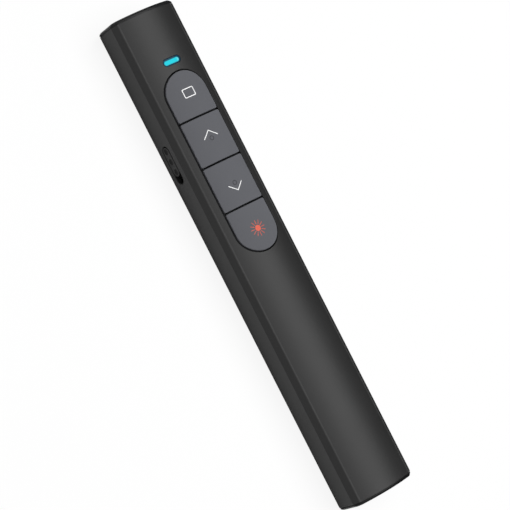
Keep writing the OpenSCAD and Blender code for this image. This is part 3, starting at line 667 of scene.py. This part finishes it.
def metal(name, colour, rough=0.25, stretch=(1, 1, 1)):
    """Metal with fine tool lines in one direction."""
    made = Finish(name, Metallic=1.0)
    scratch = made.noise(made.place(stretch=stretch), 3.0, 3.0, 0.65)
    cloud = made.noise(made.place(), 0.35)
    made.set(
        Base_Color=made.blend(cloud, shade(colour, 0.86), colour),
        Roughness=rough + (scratch - 0.5) * 0.18 + (cloud - 0.5) * 0.1,
        Normal=made.bump(scratch, 0.01 * MM, 0.5),
    )
    return made.material


def printed(name, colour, rough=0.45, specular=0.3):
    """Pad-printed ink, slightly uneven."""
    made = Finish(name, Specular_IOR_Level=specular)
    here = made.place()
    cloud = made.noise(here, 1.4, 3.0, 0.6)
    made.set(
        Base_Color=made.blend(cloud, shade(colour, 0.95), colour),
        Roughness=rough + (cloud - 0.5) * 0.12,
        Normal=made.bump(made.noise(here, 7.0), 0.004 * MM, 0.4),
    )
    return made.material


def light_finish():
    """Glowing diffuser: a cyan core with a painted highlight, paler, at one end, and a dark skirt where it
    enters the housing.
    """
    made = Finish("glowing_diffuser", Roughness=0.25, Specular_IOR_Level=0.08, Emission_Strength=1.0)
    x, y, _ = made.parts(made.place(centre=GLOW_CENTRE))
    half_length, half_width = LIGHT_LENGTH / MM / 2, LIGHT_WIDTH / MM / 2
    side = (abs(x) - (half_length - half_width)).most(0.0)
    off = (side * side + y * y) ** 0.5
    core = off.within(half_width - 0.5, half_width - 0.4)
    skirt = off.within(half_width - 0.38, half_width - 0.26)
    # Painted highlight: paler colour and glow towards the core's end at positive x
    painted_end_highlight = (1 - x.within(half_length - 1.2, half_length - 0.5)) * core
    base = made.blend(core, (0.004, 0.16, 0.2), (0.0, 0.24, 0.29))
    base = made.blend(skirt, (0.0, 0.015, 0.03), base)
    base = made.blend(painted_end_highlight * 0.4, base, (0.25, 0.5, 0.55))
    glow = made.blend(core, (0.004, 0.2, 0.24), (0.0, 0.38, 0.45))
    glow = made.blend(painted_end_highlight * 0.5, glow, (0.12, 0.3, 0.32))
    glow = made.blend(skirt, (0.0, 0.025, 0.05), glow)
    made.set(Base_Color=base, Emission_Color=glow)
    return made.material


def window_finish():
    """Clear red-tinted window."""
    made = Finish("red_window", Roughness=0.06, IOR=1.49, Transmission_Weight=0.6)
    tint = made.noise(made.place(), 0.5)
    made.set(Base_Color=made.blend(tint, (0.3, 0.012, 0.025), (0.36, 0.02, 0.04)))
    return made.material


def lens_finish():
    """Clear glass with a faint coating."""
    made = Finish("clear_lens", Roughness=0.03, IOR=1.52, Transmission_Weight=0.9)
    facing = made.add("ShaderNodeLayerWeight", {}, {"Blend": 0.4}, "Facing")
    made.set(Base_Color=made.blend(facing, (0.86, 0.93, 0.96), (0.6, 0.55, 0.9)))
    return made.material


def board_finish():
    """Green solder mask with faint tracks under it."""
    made = Finish("solder_mask", Roughness=0.28)
    across = made.parts(made.place())[0]
    lanes = abs((across / 0.8).fraction() - 0.5).within(0.18, 0.22)
    rows = made.noise(made.place(stretch=(0.8, 0.25, 1)), 0.9, 0.0).within(0.48, 0.52)
    tracks = lanes * rows
    base = made.blend(tracks * 0.6, (0.01, 0.1, 0.045), (0.03, 0.19, 0.08))
    made.set(Base_Color=base, Normal=made.bump(tracks, 0.03 * MM, 0.6))
    return made.material


def film_finish():
    """Plain silver film with a darker band at the positive end."""
    made = Finish("battery_film", Roughness=0.24)
    along = made.parts(made.place())[1]
    silver = along.within(battery_high.y / MM - 9.0, battery_high.y / MM - 8.9)
    cloud = made.noise(made.place(stretch=(1, 0.3, 1)), 1.2)
    base = made.blend(cloud, (0.55, 0.57, 0.59), (0.66, 0.68, 0.7))
    base = made.blend(silver, (0.04, 0.042, 0.046), base)
    made.set(Base_Color=base, Metallic=silver * 0.8, Normal=made.bump(cloud, 0.01 * MM, 0.3))
    return made.material


SHELL_COLOUR = (0.0158, 0.0158, 0.0158)
TRIM_COLOUR = (0.0095, 0.0095, 0.0098)
KEY_COLOUR = (0.097, 0.099, 0.109)

# The shell's colour carries a painted highlight along the crown's edges
shell_finish = moulded("shell_plastic", SHELL_COLOUR, 0.46, 0.014, 0.215, painted_edge_highlight)
door_finish = moulded("door_plastic", SHELL_COLOUR, 0.46, 0.014, 0.215)
trim_finish = moulded("trim_plastic", TRIM_COLOUR, 0.42, 0.01, 0.16)
tail_finish = moulded("tail_plastic", shade(TRIM_COLOUR, 0.5), 0.42, 0.01, 0.12)
# The keys' colour carries painted shade low down in the gaps between them
key_finish = moulded("key_plastic", KEY_COLOUR, 0.7, 0.01, 0.12, painted_gap_shade)
# The knob's colour carries painted shade in its hollows and along its edge
knob_finish = moulded("knob_plastic", shade(SHELL_COLOUR, 0.9), 0.45, 0.01, 0.18, painted_hollow_shade)
inner_finish = moulded("inner_plastic", (0.02, 0.02, 0.02), 0.45, 0.012)
white_finish = moulded("white_plastic", (0.75, 0.75, 0.73), 0.4, 0.006)
ceramic_finish = moulded("fired_ceramic", (0.42, 0.31, 0.2), 0.5, 0.02)
ferrite_finish = moulded("ferrite", (0.05, 0.05, 0.055), 0.6, 0.03)
mark_finish = printed("white_ink", (0.95, 0.95, 0.95))
sun_finish = printed("red_ink", (0.64, 0.085, 0.04))
ghost_finish = printed("grey_ink", (0.052, 0.052, 0.058), 0.6, 0.1)
steel_finish = metal("plated_steel", (0.58, 0.58, 0.57), 0.3, (1, 0.1, 1))
dull_steel_finish = metal("dull_steel", (0.07, 0.07, 0.075), 0.5)
spring_finish = metal("nickel_plate", (0.68, 0.68, 0.68), 0.2)
brass_finish = metal("turned_brass", (0.78, 0.57, 0.24), 0.22, (1, 6, 1))
gold_finish = metal("gold_flash", (0.9, 0.67, 0.26), 0.22)
copper_finish = metal("etched_copper", (0.72, 0.38, 0.18), 0.35)
magnet_finish = metal("magnet_nickel", (0.6, 0.6, 0.62), 0.15)


# ---------------------------------------------------------------- housing
def shell_stack(name, lower):
    """One shell's skin over its whole length, drawn in at both ends where the grooves are."""
    inner, full = shell_line(GROOVE_DEPTH, lower), shell_line(0, lower)
    rear = [shell_low.y + GROOVE_HALF + step for step in END_RINGS]
    front = [shell_high.y - GROOVE_HALF - step for step in reversed(END_RINGS)]
    levels = [(inner, shell_low.y), (inner, shell_low.y + GROOVE_HALF)]
    levels += [(full, depth) for depth in rear + front]
    levels += [(inner, shell_high.y - GROOVE_HALF), (inner, shell_high.y)]
    bm = bmesh.new()
    stack(bm, [(narrowed(outline, depth), depth) for outline, depth in levels], ALONG)
    return make(name, bm)


def keypad_line(grow):
    """The pill-shaped line around the keys, along the body."""
    middle = (KEYPAD_FRONT + KEYPAD_REAR) / 2
    lying = pill(KEYPAD_FRONT - KEYPAD_REAR, 2 * KEY_HALF, grow, 36)
    return [Vector((-p.y, p.x + middle)) for p in lying]


def top_shell():
    """The upper shell with its holes for the keys, the light and the slider, and room for the key lips."""

    def keypad_hole(grow):
        return keypad_line(KEY_GAP + HOLE_EASE + grow)

    def light_hole(grow):
        return moved(pill(LIGHT_LENGTH, LIGHT_WIDTH, LIGHT_EASE + grow), 0, LIGHT_Y)

    def slider_slot(grow):
        return moved(pill(*SLOT, TRIM + grow), SLOT_Y, MIDDLE)

    shell = shell_stack("top_shell", False)
    weld(shell, inside("top_housing", shell_low.y, shell_high.y))
    room = keypad_line(LIP_SPREAD + LIP_ROOM + TRIM)
    carve(
        shell,
        tool([(room, LIP_LOW), (room, LIP_HIGH + LIP_GAP + TRIM)]),
        crown_hole(keypad_hole, HOLE_CHAMFER, KEY_HALF),
        crown_hole(light_hole, LIGHT_CHAMFER, LIGHT_DRAPE_HALF),
        tool(hole_levels(slider_slot, -HALF + WALL + TRIM, -HALF, -HALF - MM), SIDEWAYS),
    )
    hand_over(shell, "housing", shell_finish, ["top_housing"])


def nail_notch():
    """A cutter for the fingernail's scoop under the tail."""
    outline = moved(circle(NOTCH_RADIUS + TRIM, 0), 0, NOTCH_Y)
    return tool([(outline, -MM), (outline, receiver_low.z)])


def belly_opening(low, high):
    """A cutter through the belly with a chamfered rim, between two corners seen from below."""
    return tool(hole_levels(lambda grow: rectangle(low, high, OPENING_CORNER, grow), SEAM, 0, -MM))


def bottom_shell():
    """The lower shell with its openings for the door, the latch and a fingernail."""
    shell = shell_stack("bottom_shell", True)
    weld(shell, inside("bottom_housing", shell_low.y, shell_high.y))
    gap = DOOR_GAP + TRIM
    side = door_high.x + gap
    carve(
        shell,
        belly_opening((-side, DOOR_REAR - gap), (side, DOOR_FRONT + gap)),
        belly_opening((-LATCH_HALF - gap, door_low.y - gap), (LATCH_HALF + gap, DOOR_REAR)),
        nail_notch(),
    )
    hand_over(shell, "housing", shell_finish, ["bottom_housing"])


def battery_door():
    """The door's solid with a small round on each of its sharp edges."""
    bm = solid_of("battery_door")
    bmesh.ops.remove_doubles(bm, verts=bm.verts, dist=MERGE)
    bmesh.ops.dissolve_limit(bm, angle_limit=math.radians(0.5), verts=bm.verts, edges=bm.edges)
    sharp = [e for e in bm.edges if e.is_manifold and e.calc_face_angle() > math.radians(35)]
    bmesh.ops.bevel(
        bm,
        geom=sharp,
        offset=DOOR_ROUND,
        affect="EDGES",
        segments=2,
        profile=0.5,
        material=-1,
        clamp_overlap=False,
    )
    hand_over(make("door_panel", bm), "door", door_finish, ["battery_door"])


# ---------------------------------------------------------------- ends
def end_plate(name, start, end, radius):
    """A plate over one end of the body, its outer rim rounded over, with a groove at its joint."""
    way_out = 1 if end > start else -1
    step = GROOVE_HALF * 0.5
    groove = [(GROOVE_DEPTH, 0.0), (GROOVE_DEPTH, step), (0.0, step + GROOVE_SLOPE)]
    rounds = rounded_levels(lambda grow: section_line(-grow), 0, abs(end - start), radius)
    levels = [(section_line(inset), depth) for inset, depth in groove] + rounds[1:]
    levels = [(outline, start + way_out * depth) for outline, depth in levels]
    bm = bmesh.new()
    stack(bm, [(narrowed(outline, depth * END_SHARE), depth) for outline, depth in levels], ALONG)
    return make(name, bm)


def front_rim():
    """The front end with the beam's flared hole and the lens's seat."""
    start, end = shell_high.y, cap_high.y
    rear = cap_low.y - MM

    def bore(radius):
        return moved(circle(radius + TRIM, 0), 0, (lens_low.z + lens_high.z) / 2)

    rim = end_plate("front_rim", start, end, FRONT_ROUND)
    weld(rim, inside("front_cap", rear, start + WELD_LAP))
    beam = [(bore(BEAM_RADIUS), rear), (bore(BEAM_RADIUS), end - BEAM_FLARE_DEPTH)]
    beam += [(bore(BEAM_FLARE), end), (bore(BEAM_FLARE), end + MM)]
    seat = [(bore(LENS_SEAT), rear), (bore(LENS_SEAT), start + SEAT_PAST)]
    carve(rim, tool(beam, ALONG), tool(seat, ALONG))
    hand_over(rim, "housing", trim_finish, ["front_cap"])


def tail_rim():
    """The tail end with the receiver's pocket."""
    start, end = shell_low.y, tail_low.y
    gap = POCKET_GAP + TRIM

    def pocket(grow):
        low = (receiver_low.x - gap, receiver_low.z - gap)
        high = (receiver_high.x + gap, receiver_high.z + gap)
        return rectangle(low, high, RECEIVER_CORNER, grow)

    rim = end_plate("tail_rim", start, end, TAIL_ROUND)
    weld(rim, inside("tail_frame", start - WELD_LAP, tail_high.y + MM, WALL + WELD_LAP))
    carve(rim, tool(hole_levels(pocket, start + SEAT_PAST, end, end - MM), ALONG), nail_notch())
    hand_over(rim, "housing", tail_finish, ["tail_frame"])


def receiver_shell():
    """The parked receiver's body, its outer end rounded over, with a groove for a fingernail."""
    low, high = (receiver_low.x, receiver_low.z), (receiver_high.x, receiver_high.z)
    face = receiver_low.z

    def body_line(grow):
        return rectangle(low, high, RECEIVER_CORNER, grow)

    def grip_line(grow):
        return rectangle(GRIP_LOW, GRIP_HIGH, GRIP_CORNER, grow)

    rounds = rounded_levels(body_line, -receiver_high.y, -receiver_low.y, RECEIVER_ROUND)
    bm = bmesh.new()
    stack(bm, [(outline, -depth) for outline, depth in rounds], ALONG)
    body = make("receiver_shell", bm)
    carve(body, tool(hole_levels(grip_line, face + GRIP_DEPTH, face, face - MM, GRIP_CHAMFER)))
    hand_over(body, "receiver", inner_finish, ["receiver_body"])


# ---------------------------------------------------------------- keys
def key_line(low, high, round_low, round_high, grow):
    """Outline of a key whose ends are straight or fully round."""

    def corner(x, y, turn):
        return arc((x, y), KEY_CORNER + grow, turn, turn + 90, 5)

    side, top, foot = KEY_HALF - KEY_CORNER, high - KEY_CORNER, low + KEY_CORNER
    if round_high:
        far = arc((0, high - KEY_HALF), KEY_HALF + grow, 0, 180, KEY_STEPS)
    else:
        far = corner(side, top, 0) + corner(-side, top, 90)
    if round_low:
        return far + arc((0, low + KEY_HALF), KEY_HALF + grow, 180, 360, KEY_STEPS)
    return far + corner(-side, foot, 180) + corner(side, foot, 270)


def lip_line(low, high, round_low, round_high):
    """Outline of a key's lip, which reaches under the edge of the keypad's hole."""
    half = KEY_HALF + LIP_SPREAD
    far = [Vector((half, high)), Vector((-half, high))]
    near = [Vector((-half, low)), Vector((half, low))]
    if round_high:
        far = arc((0, high - half), half, 0, 180, KEY_STEPS)
    if round_low:
        near = arc((0, low + half), half, 180, 360, KEY_STEPS)
    return far + near


def key(name, body, low, high, round_low=False, round_high=False):
    """A key's cap with its rounded top, and its lip."""
    cap_foot = low if round_low else low + KEY_EASE
    cap_head = high if round_high else high - KEY_EASE

    def cap_line(grow):
        return key_line(cap_foot, cap_head, round_low, round_high, grow)

    bm = bmesh.new()
    stack(bm, rounded_levels(cap_line, LIP_LOW, KEY_TOP - MARK_PROUD, KEY_ROUND))
    drape(bm, KEY_TOP - MM / 2, key_drop, KEY_HALF - DRAPE_STEP, DRAPE_STEP)
    cap = make(name + "_cap", bm)
    lip_foot = low - (LIP_SPREAD if round_low else LIP_END)
    lip_head = high + (LIP_SPREAD if round_high else LIP_END)
    lip = lip_line(lip_foot, lip_head, round_low, round_high)
    weld(cap, tool([(lip, LIP_LOW), (lip, LIP_HIGH)]))
    hand_over(cap, body, key_finish, [name])


# ---------------------------------------------------------------- marks
def mark(name, body, finish, outlines, line=None):
    """Flat printed shapes that follow a key's face: filled, or a line inside their outlines."""
    bm = bmesh.new()
    for outline in outlines:
        if line:
            frame_line(bm, outline, line)
        else:
            stack(bm, [(outline, MARK_LOW), (outline, KEY_TOP)])
    drape(bm, MARK_LOW - MM, key_drop, MARK_HALF, MARK_STEP)
    hand_over(make(name, bm), body, finish)


def frame_line(bm, outline, line):
    """A flat closed line along the inside of an outline."""
    face = bm.faces.new([bm.verts.new((p[0], p[1], MARK_LOW)) for p in outline])
    face.normal_update()
    rim = bmesh.ops.inset_individual(bm, faces=[face], thickness=line, use_even_offset=True)["faces"]
    bmesh.ops.delete(bm, geom=[face], context="FACES_ONLY")
    raised = bmesh.ops.extrude_face_region(bm, geom=rim)["geom"]
    top = [v for v in raised if isinstance(v, bmesh.types.BMVert)]
    bmesh.ops.translate(bm, verts=top, vec=(0, 0, KEY_TOP - MARK_LOW))


def ring_mark(name, body, x, y):
    """A thin printed ring that follows a key's face, a little lower than the other marks."""
    bm = bmesh.new()
    inner, outer = x + RING_INNER, x + RING_OUTER
    places = ((inner, y, MARK_LOW), (outer, y, MARK_LOW), (outer, y, RING_TOP), (inner, y, RING_TOP))
    corners = [bm.verts.new(p) for p in places]
    edges = [bm.edges.new(pair) for pair in zip(corners, corners[1:] + corners[:1])]
    bmesh.ops.spin(
        bm,
        geom=corners + edges,
        cent=(x, y, 0),
        axis=(0, 0, 1),
        angle=math.tau,
        steps=40,
        use_merge=True,
    )
    drape(bm, MARK_LOW - MM, key_drop, outer, RING_DRAPE_STEP)
    hand_over(make(name, bm), body, ghost_finish)


def chevron(apex, ends, half):
    """Outline of an open arrowhead."""
    way = 1 if apex > ends else -1
    tip, foot = Vector((0, apex)), Vector((half, ends))
    arm = (foot - tip).normalized()
    cut = foot - Vector((-arm.y, arm.x)) * ARROW_LINE * way
    inner_tip = Vector((0, apex - way * ARROW_LINE / abs(arm.x)))
    return [tip, foot, cut, inner_tip, Vector((-cut.x, cut.y)), Vector((-foot.x, foot.y))]


def sun():
    """Outlines of the sun's disc and its rays."""
    bar = plain_rectangle((RAY_START, -RAY_WIDTH / 2), (RAY_END, RAY_WIDTH / 2))
    turns = [Matrix.Rotation(math.radians(360 * i / RAY_COUNT + 90), 2) for i in range(RAY_COUNT)]
    outlines = [circle(SUN_RADIUS, 0, 40), *[[turn @ p for p in bar] for turn in turns]]
    return [moved(outline, *SUN_PLACE) for outline in outlines]


# ---------------------------------------------------------------- slider
def slider():
    """The slider's knob with its three hollows, on its plate with the lever's pocket."""

    def knob_line(grow):
        return moved(pill(*KNOB, grow, 24), KNOB_Y, MIDDLE)

    rims = rounded_levels(knob_line, -PLATE_INSIDE, -KNOB_FACE, KNOB_ROUND)
    bm = bmesh.new()
    stack(bm, [(outline, -depth) for outline, depth in rims], SIDEWAYS)
    knob = make("slider_knob", bm)
    base = rectangle((knob_low.y, knob_low.z), (knob_high.y, knob_high.z), PLATE_CORNER)
    weld(knob, tool([(base, PLATE_INSIDE - PLATE_THICKNESS), (base, PLATE_INSIDE)], SIDEWAYS))
    fit = Vector((TRIM, TRIM, TRIM))
    carve(knob, box_tool(lever_low - fit, lever_high + fit))
    for i in (-1, 0, 1):
        bm = bmesh.new()
        bmesh.ops.create_uvsphere(bm, u_segments=48, v_segments=32, radius=DIMPLE_RADIUS)
        place = (KNOB_FACE - DIMPLE_RADIUS + DIMPLE_DEPTH, KNOB_Y + i * DIMPLE_PITCH, MIDDLE)
        bmesh.ops.translate(bm, verts=bm.verts, vec=place)
        carve(knob, make("tool", bm))
    hand_over(knob, "slider", knob_finish, ["power_slider"])


top_shell()
bottom_shell()
battery_door()
front_rim()
tail_rim()
receiver_shell()
key("screen_key", "screen_press", screen_low.y, KEYPAD_FRONT, round_high=True)
key("page_up_key", "page_up_press", up_low.y, up_high.y)
key("page_down_key", "page_down_press", down_low.y, down_high.y)
key("laser_key", "laser_press", KEYPAD_REAR, laser_high.y, round_low=True)
slider()

square = rectangle(SQUARE_LOW, SQUARE_HIGH, SQUARE_CORNER)
mark("screen_mark", "screen_press", mark_finish, [square], SQUARE_LINE)
mark("page_up_mark", "page_up_press", mark_finish, [chevron(*UP_ARROW)])
mark("page_down_mark", "page_down_press", mark_finish, [chevron(*DOWN_ARROW)])
mark("laser_mark", "laser_press", sun_finish, sun())
ring_mark("page_up_ring", "page_up_press", *UP_RING)
ring_mark("page_down_ring", "page_down_press", *DOWN_RING)

# ---------------------------------------------------------------- finishes of the frame's own nodes
NODE_FINISHES = {
    inner_finish: ["slide_lever", "key_switches", "radio_chip"],
    white_finish: [
        "screen_plunger",
        "page_up_plunger",
        "page_down_plunger",
        "laser_plunger",
        "status_led",
        "receiver_tongue",
    ],
    light_finish(): ["light_pipe"],
    window_finish(): ["laser_window"],
    lens_finish(): ["laser_lens"],
    board_finish(): ["circuit_board"],
    steel_finish: ["switch_covers", "board_screws", "clock_crystal", "battery_cell", "receiver_plug"],
    dull_steel_finish: ["slide_switch"],
    spring_finish: ["positive_contact", "negative_contact", "battery_spring", "return_strip"],
    brass_finish: ["laser_barrel", "lens_ring"],
    gold_finish: ["laser_diode", "diode_pins", "receiver_contacts"],
    copper_finish: ["antenna_trace"],
    ceramic_finish: ["capacitors", "resistors"],
    ferrite_finish: ["boost_coil"],
    film_finish(): ["battery_jacket"],
    magnet_finish: ["magnet"],
}
for finish, names in NODE_FINISHES.items():
    for name in names:
        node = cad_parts[name]
        for place in range(len(node.data.materials)):
            node.data.materials[place] = finish

# ---------------------------------------------------------------- studio
bpy.context.scene.view_settings.view_transform = "Standard"
CAMERA_PLACE = Vector((-269.19, 0.0, 469.75)) * MM
CAMERA_TARGET = Vector((-0.48, -0.02, 7.15)) * MM
CAMERA_UP = Vector((0.392, 0.891, 0.228))
CAMERA_LENS = 144.3
LAMP_HEIGHT = 0.85
LAMP_LENGTH = 1.0
CARD_LIFT = 0.0002
CARD_HALF = 0.6
CARD_DEPTH = 0.15
CARD_HEIGHT = 0.2
NEAR_HALF = 0.1
NEAR_EDGE = HALF * 1.19
FLOOR_RADIUS = 3.0
FLOOR_DROP = 0.02 * MM


def look(place, target, up):
    """The turn of a camera or lamp that looks at a target."""
    back = (place - target).normalized()
    right = up.cross(back).normalized()
    true_up = back.cross(right)
    turn = Matrix((right, true_up, back)).transposed()
    return Matrix.Translation(place) @ turn.to_4x4()


camera_data = bpy.data.cameras.new("camera")
camera_data.lens = CAMERA_LENS
camera_data.sensor_width = 36
camera_data.clip_start = 0.01
camera = bpy.data.objects.new("camera", camera_data)
bpy.context.scene.collection.objects.link(camera)
camera.matrix_world = look(CAMERA_PLACE, CAMERA_TARGET, CAMERA_UP)
bpy.context.scene.camera = camera


def softbox(name, x, width, radiance):
    """A long lamp above the body, at x across it; its power follows from its radiance and area."""
    data = bpy.data.lights.new(name, "AREA")
    data.shape = "RECTANGLE"
    data.size, data.size_y = width, LAMP_LENGTH
    data.energy = radiance * math.pi * width * LAMP_LENGTH
    lamp = bpy.data.objects.new(name, data)
    bpy.context.scene.collection.objects.link(lamp)
    lamp.matrix_world = look(Vector((x, 0.0, LAMP_HEIGHT)), Vector((0, 0, 0)), Vector((0, 1, 0.01)))


softbox("key_light", 0.3, 0.68, 4.5)
softbox("fill_light", -0.3, 0.42, 1.3)


def dark_card():
    """A card on the far side and a strip on the near side that only reflections see, for dark edges."""
    bm = bmesh.new()
    near = [bm.verts.new((HALF, y, CARD_LIFT)) for y in (-CARD_HALF, CARD_HALF)]
    edge = [bm.edges.new(near)]
    for shift in ((CARD_DEPTH, 0, 0), (0, 0, CARD_HEIGHT)):
        grown = bmesh.ops.extrude_edge_only(bm, edges=edge)["geom"]
        corners = [v for v in grown if isinstance(v, bmesh.types.BMVert)]
        bmesh.ops.translate(bm, verts=corners, vec=shift)
        edge = [e for e in grown if isinstance(e, bmesh.types.BMEdge)]
    strip = plain_rectangle((-NEAR_EDGE, -NEAR_HALF), (-HALF, NEAR_HALF))
    bm.faces.new([bm.verts.new((*p, CARD_LIFT)) for p in strip])
    card = make("dark_card", bm)
    card.data.materials.append(Finish("black_card", Base_Color=(0.01, 0.01, 0.01), Roughness=1.0).material)
    card.visible_camera = card.visible_diffuse = card.visible_shadow = card.visible_transmission = False


def floor_finish():
    """Pale floor, which shows the camera white paper and keeps the object's soft shadow."""
    made = Finish("pale_floor", Roughness=0.9)
    cloud = made.noise(made.place(), 0.01)
    made.set(Base_Color=made.blend(cloud, (0.86, 0.86, 0.86), (0.9, 0.9, 0.9)))
    paper = made.add("ShaderNodeEmission", {}, {"Color": (1, 1, 1), "Strength": 1.0})
    plain = Signal(made, made.shader.outputs[0])
    share = made.sees_backdrop() * 0.9
    mixed = made.add("ShaderNodeMixShader", {}, {0: share, 1: plain, 2: paper})
    below = made.add("ShaderNodeNewGeometry", {}, {}, "Backfacing")
    clear = made.add("ShaderNodeBsdfTransparent", {}, {"Color": (1, 1, 1)})
    one_way = made.add("ShaderNodeMixShader", {}, {0: below, 1: mixed, 2: clear})
    made.feed(made.tree.nodes["Material Output"].inputs["Surface"], one_way)
    return made.material


def pale_floor():
    """A round floor just under the body."""
    bm = bmesh.new()
    bmesh.ops.create_circle(bm, cap_ends=True, segments=ROUND_STEPS, radius=FLOOR_RADIUS)
    bmesh.ops.translate(bm, verts=bm.verts, vec=(0, 0, -FLOOR_DROP))
    floor = make("floor", bm)
    if floor.data.polygons[0].normal.z < 0:
        floor.data.flip_normals()
    floor.data.materials.append(floor_finish())


dark_card()
pale_floor()

world = bpy.data.worlds.new("studio")
bpy.context.scene.world = world
world.use_nodes = True
background = world.node_tree.nodes["Background"].inputs
sky = Nodes(world.node_tree)
sky.feed(background["Color"], (1, 1, 1))
sky.feed(background["Strength"], sky.sees_backdrop() * 0.92 + 0.08)
